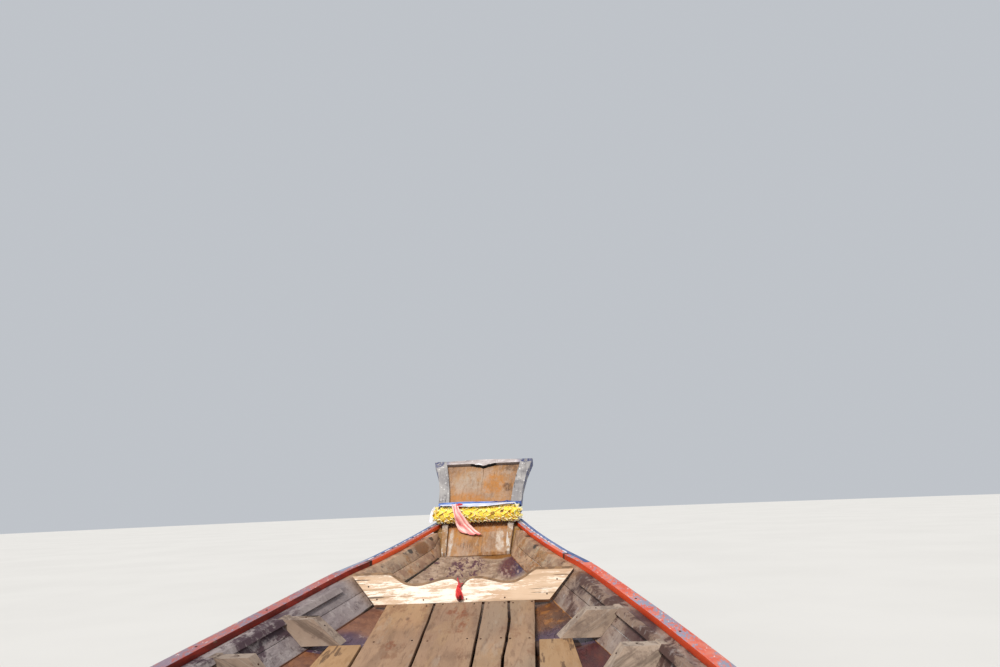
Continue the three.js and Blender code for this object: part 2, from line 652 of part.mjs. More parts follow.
// The garland rolled across the posts, the ribbon wound round them above it, and the sash over the roll
function sashes(raked) {
  const { s: rollS, radius } = GARLAND;
  const rollOut = POST_PROUD + SEAM + radius;
  const corner = radius / Math.cos(Math.PI / 8);
  raked.add(part('garland', loft(GARLAND_LINE.map(({ x, wide }) => Array.from({ length: 8 }, (_, k) => {
    const turn = ((k + 0.5) * Math.PI) / 4;
    return [x, rollS + corner * wide * Math.sin(turn), rollOut + corner * wide * Math.cos(turn)];
  }))), 'flower'));

  const { steps, proud } = RIBBON;
  const sleeve = (grow, past) => loft(steps.map((s, i) => {
    const at = s + [-past, 0, past][i];
    const half = postEdgeHalf(at) + SEAM + grow;
    const [back, front] = [-PROW_BOARD - SEAM - grow, POST_PROUD + SEAM + grow];
    return [[-half, at, back], [half, at, back], [half, at, front], [-half, at, front]];
  }));
  raked.add(part('ribbon', cut(sleeve(proud, 0), [sleeve(0, 5)]), 'ribbon'));

  const over = SASH_OVER.map(({ turn, left, right }) => {
    const angle = THREE.MathUtils.degToRad(turn);
    const at = (r) => [rollS - r * Math.sin(angle), rollOut + r * Math.cos(angle)];
    return { left, right, inner: at(corner + SEAM), outer: at(corner + SEAM + SASH_THICK) };
  });
  const tail = SASH_TAIL.map(({ s, out, left, right }) => (
    { left, right, inner: [s, out], outer: [s, out + SASH_THICK] }));
  raked.add(part('pink_sash', loft([...over, ...tail].map(({ left, right, inner, outer }) => (
    [[left, ...inner], [right, ...inner], [right, ...outer], [left, ...outer]]))), 'pink'));
}

function washboard(group) {
  const { y, z, half } = WASH_FOOT;
  const top = WASH_HEIGHT;
  const shape = new THREE.Shape();
  shape.moveTo(-half, 0);
  shape.lineTo(half, 0);
  shape.lineTo(WASH_TOP_HALF, top);
  shape.lineTo(298, top);
  shape.bezierCurveTo(262, top - 14, 240, top - 50, 190, top - 52);
  shape.bezierCurveTo(130, top - 52, 110, top - 26, 42, top - 28);
  shape.bezierCurveTo(24, top - 30, 10, top - 44, 0, top - 64);
  shape.bezierCurveTo(-10, top - 44, -24, top - 30, -42, top - 28);
  shape.bezierCurveTo(-110, top - 26, -130, top - 52, -190, top - 52);
  shape.bezierCurveTo(-240, top - 50, -262, top - 14, -298, top);
  shape.lineTo(-WASH_TOP_HALF, top);
  const options = { depth: WASH_THICK, bevelEnabled: false, curveSegments: 8 };
  const board = new THREE.ExtrudeGeometry(shape, options);
  board.rotateX(Math.PI / 2 - WASH_LEAN)
    .translate(0, y + WASH_THICK * Math.cos(WASH_LEAN), z - WASH_THICK * Math.sin(WASH_LEAN));
  group.add(part('washboard', board, 'washboard'));
  const tassel = new THREE.LatheGeometry([[0, 0], [9, 2], [15, 16], [12, 40], [5, 70], [0, 72]]
    .map(([r, h]) => new THREE.Vector2(r, h)), 12).rotateX(Math.PI / 2);
  tassel.rotateX(-WASH_LEAN)
    .translate(TASSEL_X, y - TASSEL_OFF * Math.cos(WASH_LEAN), z + TASSEL_OFF * Math.sin(WASH_LEAN));
  group.add(part('tassel', tassel, 'red'));
}

function benches(group) {
  const { half, deep, thick, top, legHalf, leg } = BENCH;
  for (const { name, y } of BENCHES) {
    const low = floorZ(y + deep / 2) + SEAM;
    const legs = [-1, 1].map((side) => block(side * legHalf - leg / 2, side * legHalf + leg / 2,
      y - deep / 2 + 20, y + deep / 2 - 20, low, top - thick + 1));
    const seat = block(-half, half, y - deep / 2, y + deep / 2, top - thick, top);
    group.add(part(name, join([seat, ...legs]), 'bench'));
  }
}

function sternDeck(group) {
  const { front, back, top, thick, leg, half, backHalf } = DECK;
  const seat = loft([[back, backHalf], [front, half]].map(([y, w]) => (
    [[-w, y, top - thick], [w, y, top - thick], [w, y, top], [-w, y, top]])));
  const bearer = (y, w, low) => block(-w, w, y, y + leg, low, top - thick + 1);
  const aft = { y: back + 10, w: backHalf - 60 };
  const bearers = [bearer(aft.y, aft.w, clearOfBottom(aft.y, aft.w)),
    bearer(front - leg - 30, half - 60, FLOOR_Z - BOARD - KEELSON_DROP)];
  group.add(part('stern_deck', join([seat, ...bearers]), 'bench'));
}

// The lowest height clear of the bottom planking for a level board of this half width
function clearOfBottom(y, half) {
  const line = innerLine(y);
  const i = half < line[1][0] ? 0 : 1;
  return between(line[i], line[i + 1], (half - line[i][0]) / (line[i + 1][0] - line[i][0]))[1] + 1;
}

// The line of a roof hoop in its own plane, with the direction out of it at each point; the eave
// carries the same curve past the side rail
function archLine(half, eave) {
  const rise = (x) => ROOF_RISE * (1 - (x / half) ** 2);
  const base = CANOPY_RAIL_Z + CANOPY_RAIL + HOOP_RADIUS;
  const xs = [-1, -0.8, -0.55, -0.28, 0, 0.28, 0.55, 0.8, 1].map((t) => t * half);
  const all = eave > 0 ? [-half - eave, ...xs, half + eave] : xs;
  const points = all.map((x) => [x, base + rise(x)]);
  return points.map(([x, z], i) => {
    const [ax, az] = points[Math.max(0, i - 1)];
    const [bx, bz] = points[Math.min(points.length - 1, i + 1)];
    const length = Math.hypot(bx - ax, bz - az);
    return { x, z, nx: -(bz - az) / length, nz: (bx - ax) / length };
  });
}

function canopy(group) {
  const inset = RAIL_WIDTH / 2;
  const foot = (y) => [railHalf(y) - inset, railTop(y) + SEAM];
  const railX = (y) => railHalf(y) - inset - CANOPY_POST_TOP_IN;
  const back = CANOPY_POSTS_Y[0] - CANOPY_OVERHANG_Y;
  const front = CANOPY_POSTS_Y[2] + CANOPY_OVERHANG_Y;
  const h = POST_SIZE / 2;
  const posts = CANOPY_POSTS_Y.map((y) => {
    const [x, z] = foot(y);
    const ring = (cx, cz) => (
      [[cx - h, y - h, cz], [cx + h, y - h, cz], [cx + h, y + h, cz], [cx - h, y + h, cz]]);
    const base = Math.max(railTop(y - POST_FOOT.half), railTop(y + POST_FOOT.half));
    const footing = block(x - POST_FOOT.in, x + POST_FOOT.out, y - POST_FOOT.half, y + POST_FOOT.half,
      base + SEAM, base + POST_FOOT.high);
    return [loft([ring(x, z + 5), ring(railX(y), CANOPY_RAIL_Z + 4)]), footing];
  }).flat();
  const rail = loft(range(back, front, STATION * 2).map((y) => {
    const x = railX(y);
    return [[x - h, y, CANOPY_RAIL_Z], [x + h, y, CANOPY_RAIL_Z],
      [x + h, y, CANOPY_RAIL_Z + CANOPY_RAIL], [x - h, y, CANOPY_RAIL_Z + CANOPY_RAIL]];
  }));
  pair(group, 'canopy_side', join([...posts, rail]), 'tube');
  const hoops = HOOPS_Y.map((y) => {
    const line = archLine(railX(y), 0);
    const hoop = loft(line.map(({ x, z, nx, nz }) => Array.from({ length: 8 }, (_, k) => {
      const turn = (k * Math.PI) / 4;
      const out = HOOP_RADIUS * Math.cos(turn);
      return [x + nx * out, y + HOOP_RADIUS * Math.sin(turn), z + nz * out];
    })));
    const low = CANOPY_RAIL_Z + CANOPY_RAIL + SEAM;
    const feet = [line[0], line[line.length - 1]].map(({ x }) => (
      rod('z', low, low + HOOP_FOOT.high, HOOP_FOOT.radius, [x, y], 8)));
    return [hoop, ...feet];
  }).flat();
  const crownZ = CANOPY_RAIL_Z + CANOPY_RAIL + HOOP_RADIUS + ROOF_RISE;
  const ridge = rod('y', HOOPS_Y[0], HOOPS_Y[HOOPS_Y.length - 1], RIDGE_RADIUS, [0, crownZ], 8);
  group.add(part('canopy_hoops', join([...hoops, ridge]), 'tube'));
  const halfway = HOOPS_Y.slice(1).map((y, i) => (y + HOOPS_Y[i]) / 2);
  const ends = [back - ROOF_OVERHANG, front + ROOF_OVERHANG];
  const roofStations = [...ends, ...HOOPS_Y, ...halfway].sort((a, b) => a - b);
  const roof = loft(roofStations.map((y) => {
    const line = archLine(railX(y), ROOF_EAVE);
    const under = HOOP_RADIUS + ROOF_OFF;
    const at = (lift) => line.map(({ x, z, nx, nz }) => [x + nx * lift, y, z + nz * lift]);
    return [...at(under), ...at(under + ROOF_THICK).reverse()];
  }));
  group.add(part('canopy', roof, 'canvas'));
}

// Engine beam and socket on the hull, and the yoke that swivels in the socket
function bracket(group) {
  const { deep, high } = BEAM;
  const low = railTop(PIVOT_Y - deep / 2) + SEAM;
  const half = railHalf(PIVOT_Y);
  const beam = block(-half, half, PIVOT_Y - deep / 2, PIVOT_Y + deep / 2, low, low + high);
  group.add(part('engine_beam', beam, 'plank'));
  const top = low + high + SEAM;
  const flange = block(-FLANGE.half, FLANGE.half, PIVOT_Y - deep / 2 + 5, PIVOT_Y + deep / 2 - 5,
    top, top + FLANGE.thick);
  const socketTop = top + FLANGE.thick + SOCKET.high;
  const stand = cut(join([flange, rod('z', top + 2, socketTop, SOCKET.outer, [0, PIVOT_Y], 32)]),
    [rod('z', top + FLANGE.thick, socketTop + 5, SOCKET.inner, [0, PIVOT_Y], 32)]);
  group.add(part('engine_stand', stand, 'steel'));
  const deckZ = socketTop + SEAM;
  const spindle = rod('z', top + FLANGE.thick + 8, deckZ + 4, SPINDLE, [0, PIVOT_Y], 32);
  const table = rod('z', deckZ, deckZ + TURNTABLE.thick, TURNTABLE.radius, [0, PIVOT_Y], 32);
  const d = ARM.deep / 2;
  const reach = ARM.inner + ARM.thick;
  const bar = block(-reach, reach, PIVOT_Y - d, PIVOT_Y + d, deckZ + 2, deckZ + TURNTABLE.thick + 4);
  const arms = [[-reach, -ARM.inner], [ARM.inner, reach]].map(([x0, x1]) => (
    block(x0, x1, PIVOT_Y - d, PIVOT_Y + d, deckZ + 2, TILT_Z + ARM.above)));
  const holes = rod('x', -reach - 5, reach + 5, TILT_PIN + RUNNING, [PIVOT_Y, TILT_Z], 24);
  group.add(part('yoke', cut(join([spindle, table, bar, ...arms]), [holes]), 'steel'));
}

// The engine's pieces, with the tilt pin along X through the origin and the shaft along -Y
function engine(group) {
  const tilt = new THREE.Group();
  tilt.position.set(0, PIVOT_Y, TILT_Z);
  tilt.rotation.x = SHAFT_SLOPE;
  tilt.add(part('engine_bed', engineBed(), 'steel'));
  const { half, front, back, bottom: base, top } = BLOCK;
  const sump = block(-60, 60, back + 30, front - 60, base - 11, base + 2);
  const body = join([block(-half, half, back, front, base, top), sump]);
  tilt.add(part('engine_block', body, 'engine'));
  const cover = block(-HEAD.half, HEAD.half, HEAD.back, HEAD.front, top + SEAM, HEAD.top);
  tilt.add(part('rocker_cover', cover, 'steel'));
  const bell = turned([[0, 0], ...BELL.map(({ d, r }) => [-d, r])], 28);
  tilt.add(part('bell_housing', bell.translate(0, back - SEAM, SHAFT_Z), 'engine'));
  tilt.add(part('radiator', radiator(), 'radiator'), part('exhaust', exhaust(), 'steel'));
  tilt.add(part('air_filter', airFilter(), 'steel'), part('belt_drive', beltDrive(), 'rubber'));
  tilt.add(part('tiller', tiller(), 'tube'), part('shaft_tube', shaftTube(), 'steel'));
  tilt.add(part('propeller', propeller(), 'brass'));
  group.add(tilt);
}

function radiator() {
  const { front } = BLOCK;
  const face = front + 62;
  const core = block(-RADIATOR.half, RADIATOR.half, face, face + RADIATOR.thick, RADIATOR.low, RADIATOR.high);
  const legs = [-1, 1].map((side) => block(side * 165 - 12, side * 165 + 12, front + 70, front + 94,
    BED.high / 2 + SEAM, RADIATOR.low + 5));
  const hose = bend([[40, HEAD.front - 40, HEAD.top - 30], [40, HEAD.front + 20, HEAD.top + 12],
    [30, HEAD.front + 60, HEAD.top + 6], [20, front + 75, RADIATOR.high - 14]], 16, 5, 8);
  const headRoom = block(-HEAD.half - 5, HEAD.half + 5, HEAD.back, HEAD.front + SEAM,
    HEAD.top - 200, HEAD.top + SEAM);
  return cut(join([core, ...legs, hose]), [headRoom]);
}

function exhaust() {
  const x = BLOCK.half + SEAM;
  const z = BLOCK.top - 45;
  const manifold = block(x, x + 46, BLOCK.back + 60, BLOCK.front - 70, z - 22, z + 22);
  const pipe = bend([[x + 26, BLOCK.back + 90, z], [x + 60, BLOCK.back + 70, z + 40],
    [x + 64, BLOCK.back + 20, z + 150], [x + 64, BLOCK.back - 10, z + 330]], 19, 5, 10);
  const silencer = bend([[x + 64, BLOCK.back + 14, z + 170], [x + 64, BLOCK.back - 4, z + 290]], 42, 8, 1);
  return join([manifold, pipe, silencer]);
}

function airFilter() {
  const x = -BLOCK.half - SEAM;
  const z = BLOCK.top - 35;
  const runner = block(x - 64, x, BLOCK.back + 90, BLOCK.front - 110, z - 24, z + 20);
  const canister = rod('z', z + 10, z + 150, 68, [x - 74, 40], 20);
  const lid = rod('z', z + 148, z + 166, 58, [x - 74, 40], 20);
  return join([runner, canister, lid]);
}

function beltDrive() {
  const y = BLOCK.front + SEAM;
  const crank = rod('y', y, y + 44, 68, [0, SHAFT_Z], 24);
  const fan = rod('y', y, y + 44, 52, [0, 268], 24);
  const alternator = rod('y', y, y + 44, 36, [-104, 222], 20);
  const beltLine = [[-66, SHAFT_Z - 12], [66, SHAFT_Z - 12], [54, 290], [-10, 318], [-136, 236], [-132, 206]];
  const belt = plate(beltLine, 14).rotateX(Math.PI / 2).translate(0, y + 36, 0);
  return join([crank, fan, alternator, belt]);
}

function tiller() {
  const { x, z, reach, drop, radius, grip, gripLength } = TILLER;
  const base = -BLOCK.half - SEAM;
  const clear = -RADIATOR.half - radius - 14;
  const { front } = BLOCK;
  const arm = bend([[base - 28, front - 230, z - 100], [clear + 10, front - 90, z - 80],
    [clear, front + 110, z - 40], [x - 70, front + 260, z - 20], [x, front + 420, z - 40],
    [x, reach, z - drop]], radius, 5, 22);
  const bracketPlate = block(base - 40, base, front - 250, front - 120, z - 135, z - 72);
  const handle = bend([[x, reach - gripLength, z - drop + 34], [x, reach + 4, z - drop - 1]], grip, 6, 1);
  return join([arm, bracketPlate, handle]);
}

// The tube round the drive shaft, its bearing end and the fin below it
function shaftTube() {
  const front = BLOCK.back - SEAM * 2 - BELL[BELL.length - 1].d;
  const { radius, end, sides } = TUBE;
  const tube = rod('y', end, front, radius, [0, SHAFT_Z], sides);
  const collar = rod('y', front - 90, front, radius + 20, [0, SHAFT_Z], 20);
  const bearing = rod('y', end, end + 110, radius + 9, [0, SHAFT_Z], 20);
  const finLine = [[end + 100, 0], [end + 520, 0], [end + 470, -12], [end + 150, -150], [end + 60, -165],
    [end + 40, -150]];
  const finPlate = plate(finLine, 8).rotateX(Math.PI / 2).rotateZ(Math.PI / 2);
  const fin = finPlate.translate(-4, 0, SHAFT_Z - radius + 4);
  const bore = rod('y', end - 5, end + 90, DRIVE_SHAFT + RUNNING, [0, SHAFT_Z], 20);
  return cut(join([tube, collar, bearing, fin]), [bore]);
}

// Hub, tail of the drive shaft and twisted blades, all turning about the shaft line
function propeller() {
  const { y, hub, hubLength, radius, blades, chord, thick } = PROP;
  const shaft = rod('y', y, TUBE.end + 80, DRIVE_SHAFT, [0, 0], 20);
  const boss = turned([[hubLength / 2, 0], [hubLength / 2, hub - 6], [0, hub], [-hubLength / 2, hub - 6],
    [-hubLength / 2 - 26, 10], [-hubLength / 2 - 26, 0]], 20).translate(0, y, 0);
  const blade = loft(PROP_SECTIONS.map(({ r, wide, pitch }) => {
    const angle = THREE.MathUtils.degToRad(pitch);
    const half = (chord * wide) / 2;
    return [[-half, 0], [-half * 0.4, -thick * 0.5], [half * 0.5, -thick * 0.5], [half, 0],
      [half * 0.5, thick * 0.5], [-half * 0.4, thick * 0.5]].map(([u, v]) => [
      u * Math.cos(angle) - v * Math.sin(angle), u * Math.sin(angle) + v * Math.cos(angle), r * radius]);
  })).translate(0, y, 0);
  const all = Array.from({ length: blades }, (_, i) => blade.clone().rotateY((i * 2 * Math.PI) / blades));
  return join([shaft, boss, ...all]).translate(0, 0, SHAFT_Z);
}

function engineBed() {
  const { outer, wide, high, front, back } = BED;
  const sides = [[-outer, wide - outer], [outer - wide, outer]].map(([x0, x1]) => (
    block(x0, x1, back, front, -high / 2, high / 2)));
  const cross = [back + 20, front - 60].map((y) => (
    block(5 - outer, outer - 5, y, y + 40, -high / 2 + 6, -high / 2 + 30)));
  const pinEnd = ARM.inner + ARM.thick + 12;
  return join([...sides, ...cross, rod('x', -pinEnd, pinEnd, TILT_PIN, [0, 0], 24)]);
}

const boat = new THREE.Group();
hull(boat);
rails(boat);
floor(boat);
sideFrames(boat);
floorTimbers(boat);
prow(boat);
washboard(boat);
benches(boat);
sternDeck(boat);
canopy(boat);
bracket(boat);
engine(boat);

export default boat;
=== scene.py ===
# Longtail boat: finishes, cloth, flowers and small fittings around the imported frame.
# Metres, +Y forward to the bow, +X starboard, +Z up, the origin at the waterline amidships.
import math
import random

import bpy
import numpy as np
from mathutils import Matrix, Vector, noise
from mathutils.bvhtree import BVHTree
from mathutils.geometry import convex_hull_2d


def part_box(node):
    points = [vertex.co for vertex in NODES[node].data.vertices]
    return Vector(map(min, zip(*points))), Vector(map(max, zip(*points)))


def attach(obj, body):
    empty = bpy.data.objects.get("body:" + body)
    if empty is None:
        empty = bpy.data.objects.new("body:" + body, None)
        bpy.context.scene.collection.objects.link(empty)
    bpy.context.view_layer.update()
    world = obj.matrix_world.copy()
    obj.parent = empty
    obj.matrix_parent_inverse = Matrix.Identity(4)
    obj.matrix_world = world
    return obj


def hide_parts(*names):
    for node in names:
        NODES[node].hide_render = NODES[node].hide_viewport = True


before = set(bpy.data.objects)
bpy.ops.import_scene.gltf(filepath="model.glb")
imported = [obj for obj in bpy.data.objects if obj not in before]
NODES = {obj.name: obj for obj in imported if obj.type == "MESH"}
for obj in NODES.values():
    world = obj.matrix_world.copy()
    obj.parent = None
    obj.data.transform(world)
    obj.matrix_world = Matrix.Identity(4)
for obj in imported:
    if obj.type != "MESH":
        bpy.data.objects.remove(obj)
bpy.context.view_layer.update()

# Camera: fitted to the photograph, 1000 pixels wide, looking forward from the front bench
PHOTO_WIDTH = 1000
FOCAL_PIXELS = 700
SENSOR = 36
EYE = Vector((0.319, 0.65, 0.80))
PITCH = math.radians(13.5)
YAW = math.radians(2.5)
ROLL = math.radians(-2.3)


def add_object(name, data):
    """A new object in the scene."""
    obj = bpy.data.objects.new(name, data)
    bpy.context.scene.collection.objects.link(obj)
    return obj


def make_camera():
    ahead = Vector((-math.sin(YAW) * math.cos(PITCH), math.cos(YAW) * math.cos(PITCH), math.sin(PITCH)))
    across = Vector((math.cos(YAW), math.sin(YAW), 0))
    above = across.cross(ahead)
    right = math.cos(ROLL) * across + math.sin(ROLL) * above
    up = math.cos(ROLL) * above - math.sin(ROLL) * across
    data = bpy.data.cameras.new("camera")
    data.sensor_width = SENSOR
    data.lens = SENSOR * FOCAL_PIXELS / PHOTO_WIDTH
    data.clip_end = 200
    camera = add_object("camera", data)
    camera.matrix_world = Matrix.Translation(EYE) @ Matrix((right, up, -ahead)).transposed().to_4x4()
    bpy.context.scene.camera = camera


make_camera()

# The prow's raked plane: x across, s up the board, n out of its face
PROW_RAKE = math.radians(32.5)
PROW_THICK = 0.03
POST_PROUD = 0.02
prow_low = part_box("prow_board")[0]
PROW_FOOT = Vector((0, prow_low.y, prow_low.z + PROW_THICK * math.cos(PROW_RAKE)))
PROW_UP = Vector((0, math.cos(PROW_RAKE), math.sin(PROW_RAKE)))
PROW_OUT = Vector((0, -math.sin(PROW_RAKE), math.cos(PROW_RAKE)))


def on_prow(x, s, n):
    return PROW_FOOT + Vector((x, 0, 0)) + PROW_UP * s + PROW_OUT * n


# The washboard's leaning plane: x across, h up its aft face, off aft of that face
WASH_FOOT = Vector((0, 3.537, 0.4249))
WASH_LEAN = math.radians(30)
WASH_UP = Vector((0, math.sin(WASH_LEAN), math.cos(WASH_LEAN)))
WASH_BACK = Vector((0, -math.cos(WASH_LEAN), math.sin(WASH_LEAN)))
WASH_HEIGHT = 0.136
WASH_THICK = 0.027
WASH_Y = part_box("washboard")[0].y


def on_washboard(x, h, off=0.0):
    return WASH_FOOT + Vector((x, 0, 0)) + WASH_UP * h + WASH_BACK * off


# Frames along the boat, and other measures repeated from the part's source in metres
RIB_STEP = 0.35
RIB_FIRST = 3.15
RIB_THICK = 0.038
RIB_COUNT = 23
RIBS = [RIB_FIRST - RIB_STEP * k + RIB_THICK / 2 for k in range(RIB_COUNT)]
ROLL_S = 0.262
ROLL_OUT = 0.0623
ROLL_RADIUS = 0.042
PROW_OUTER = ((0, 0.167), (0.14, 0.179), (0.30, 0.19), (0.37, 0.205), (0.45, 0.229), (0.58, 0.237),
              (0.74, 0.261), (0.9, 0.299))
HOOPS = (-3.14, -2.07, -0.99, 0.09)


# Small sums
def along(table, at):
    keys, values = zip(*table)
    return float(np.interp(at, keys, values))


def lerp(a, b, share):
    return a + (b - a) * share


def ease(share):
    share = min(1.0, max(0.0, share))
    return share * share * (3 - 2 * share)


def wobble(x, y=0.0, z=0.0):
    return noise.noise(Vector((x + 7.3, y + 3.1, z + 5.7)))


def even(a, b, count):
    """Values from a to b in even steps, with both ends."""
    return [lerp(a, b, i / count) for i in range(count + 1)]


def angles(count, extra=0):
    """Angles evenly round a circle; extra ones go on past the full turn."""
    return [2 * math.pi * k / count for k in range(count + extra)]


# Reading the frame
def triangles(name):
    mesh = NODES[name].data
    points = np.array([v.co for v in mesh.vertices])
    mesh.calc_loop_triangles()
    return points[[list(t.vertices) for t in mesh.loop_triangles]]


TRIANGLES = {name: triangles(name) for name in NODES}


def section(name, at, axis=1):
    """Points where the node's edges cross a plane square to one axis."""
    tris = TRIANGLES[name]
    found = []
    for a, b in ((0, 1), (1, 2), (2, 0)):
        p, q = tris[:, a], tris[:, b]
        crossing = (p[:, axis] - at) * (q[:, axis] - at) < 0
        p, q = p[crossing], q[crossing]
        share = ((at - p[:, axis]) / (q[:, axis] - p[:, axis]))[:, None]
        found.append(p + share * (q - p))
    return np.concatenate(found)


def surface(*names):
    """A tree for casting rays at some nodes."""
    tris = np.concatenate([TRIANGLES[name] for name in names])
    points = [Vector(p) for p in tris.reshape(-1, 3)]
    faces = [(i, i + 1, i + 2) for i in range(0, len(points), 3)]
    return BVHTree.FromPolygons(points, faces)


# Making pieces
BEVEL_ANGLE = math.radians(35)
SMOOTH_ANGLE = math.radians(32)
WELD_DISTANCE = 1e-5


def mesh_object(name, points, faces):
    mesh = bpy.data.meshes.new(name)
    mesh.from_pydata([tuple(p) for p in points], [], faces)
    return add_object(name, mesh)


def piece(name, points, faces, body, slot, look, smooth=True, replaces=()):
    """A piece of the part in one of the LOOK's materials."""
    obj = mesh_object(name, points, faces)
    obj.data.validate()
    obj.data.polygons.foreach_set("use_smooth", [smooth] * len(obj.data.polygons))
    obj.data.materials.append(LOOK[look])
    if replaces:
        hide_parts(*replaces)
    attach(obj, body)
    return obj


def sharpen(obj, degrees=35):
    obj.data.set_sharp_from_angle(angle=math.radians(degrees))


def thicken(obj, metres):
    obj.modifiers.new("cloth", "SOLIDIFY").thickness = metres


class Build:
    """Collects points and faces of one joined mesh."""

    def __init__(self):
        self.points = []
        self.faces = []
        self.marks = {}

    def add(self, points, faces):
        start = len(self.points)
        self.points += [Vector(p) for p in points]
        self.faces += [tuple(i + start for i in face) for face in faces]

    def grid(self, rows, closed=False, ends=False, marks=None):
        """Quads between rows of points; closed rows join round, ends are capped."""
        start = len(self.points)
        width = len(rows[0])
        for row in rows:
            self.points += [Vector(p) for p in row]
        for r, row in enumerate(marks or []):
            for i, mark in enumerate(row):
                self.marks[start + r * width + i] = mark
        for r in range(len(rows) - 1):
            for i in range(width if closed else width - 1):
                a = start + r * width + i
                b = start + r * width + (i + 1) % width
                self.faces.append((a, b, b + width, a + width))
        if ends:
            self.faces.append(tuple(start + i for i in reversed(range(width))))
            last = start + (len(rows) - 1) * width
            self.faces.append(tuple(last + i for i in range(width)))

    def tube(self, path, radius, sides=8, ends=True):
        """A round tube along points; radius may be a list."""
        path = [Vector(p) for p in path]
        rows = []
        side = None
        for i, at in enumerate(path):
            ahead = (path[min(i + 1, len(path) - 1)] - path[max(i - 1, 0)]).normalized()
            if side is None:
                side = ahead.orthogonal().normalized()
            side = (side - ahead * side.dot(ahead)).normalized()
            other = ahead.cross(side)
            r = radius[i] if isinstance(radius, (list, tuple)) else radius
            rows.append([at + (side * math.cos(t) + other * math.sin(t)) * r for t in angles(sides)])
        self.grid(rows, closed=True, ends=ends)

    def turned(self, profile, base, axis, sides=24):
        """A body of revolution from (distance, radius) steps along an axis."""
        axis = Vector(axis).normalized()
        side = axis.orthogonal().normalized()
        other = axis.cross(side)
        rows = [[Vector(base) + axis * d + (side * math.cos(t) + other * math.sin(t)) * max(r, 1e-5)
                 for t in angles(sides)] for d, r in profile]
        self.grid(rows, closed=True, ends=True)

    def box(self, low, high):
        (x0, y0, z0), (x1, y1, z1) = low, high
        corners = [(x, y, z) for z in (z0, z1) for x, y in ((x0, y0), (x1, y0), (x1, y1), (x0, y1))]
        walls = [(0, 1, 5, 4), (1, 2, 6, 5), (2, 3, 7, 6), (3, 0, 4, 7)]
        self.add(corners, [(3, 2, 1, 0), (4, 5, 6, 7)] + walls)

    def dome(self, at, normal, radius, height, sides=8):
        """A low nail or bolt head on a surface."""
        self.turned([(-0.0005, radius), (height * 0.5, radius), (height, radius * 0.6)], at, normal, sides)

    def finish(self, name, body, slot, look, mark=None, **options):
        """The collected mesh as one piece; mark names the attribute that holds the points' marks."""
        obj = piece(name, self.points, self.faces, body, slot, look, **options)
        if mark:
            values = [self.marks.get(i, 0.5) for i in range(len(obj.data.vertices))]
            obj.data.attributes.new(mark, "FLOAT", "POINT").data.foreach_set("value", values)
        return obj


def bevelled(obj, width, segments=2):
    """Rounds a piece's edges and smooths it between them."""
    edge = obj.modifiers.new("edge", "BEVEL")
    edge.width = width
    edge.segments = segments
    edge.limit_method = "ANGLE"
    edge.angle_limit = BEVEL_ANGLE
    obj.modifiers.new("smooth", "NODES").node_group = SMOOTH


def node_group(name):
    group = bpy.data.node_groups.new(name, "GeometryNodeTree")
    group.interface.new_socket("Geometry", in_out="INPUT", socket_type="NodeSocketGeometry")
    group.interface.new_socket("Geometry", in_out="OUTPUT", socket_type="NodeSocketGeometry")
    return group, group.nodes.new("NodeGroupInput"), group.nodes.new("NodeGroupOutput")


def weld_group():
    """Joins the frame's loose triangles and drops their stored normals."""
    group, start, end = node_group("weld")
    forget = group.nodes.new("GeometryNodeRemoveAttribute")
    forget.inputs["Name"].default_value = "custom_normal"
    merge = group.nodes.new("GeometryNodeMergeByDistance")
    merge.inputs["Distance"].default_value = WELD_DISTANCE
    group.links.new(start.outputs[0], forget.inputs[0])
    group.links.new(forget.outputs[0], merge.inputs["Geometry"])
    group.links.new(merge.outputs[0], end.inputs[0])
    return group


def smooth_group():
    """Smooth faces, with sharp edges kept where the surface turns by more than SMOOTH_ANGLE."""
    group, start, end = node_group("smooth")
    faces = group.nodes.new("GeometryNodeSetShadeSmooth")
    edges = group.nodes.new("GeometryNodeSetShadeSmooth")
    edges.domain = "EDGE"
    edges.inputs["Shade Smooth"].default_value = False
    angle = group.nodes.new("GeometryNodeInputMeshEdgeAngle")
    over = group.nodes.new("ShaderNodeMath")
    over.operation = "GREATER_THAN"
    over.inputs[1].default_value = SMOOTH_ANGLE
    group.links.new(start.outputs[0], faces.inputs["Geometry"])
    group.links.new(faces.outputs[0], edges.inputs["Geometry"])
    group.links.new(angle.outputs["Unsigned Angle"], over.inputs[0])
    group.links.new(over.outputs[0], edges.inputs["Selection"])
    group.links.new(edges.outputs[0], end.inputs[0])
    return group


WELD = weld_group()
SMOOTH = smooth_group()


def dress(name, look, edge):
    """Gives a frame node its material and softened edges."""
    obj = NODES[name]
    obj.data.materials.clear()
    obj.data.materials.append(LOOK[look])
    obj.modifiers.new("weld", "NODES").node_group = WELD
    bevelled(obj, edge)


# Materials
def linear(code):
    """A colour written as in a picture, 0xRRGGBB, in the renderer's own scale."""
    values = [((code >> shift) & 255) / 255 for shift in (16, 8, 0)]
    return tuple(c / 12.92 if c <= 0.04045 else ((c + 0.055) / 1.055) ** 2.4 for c in values) + (1.0,)


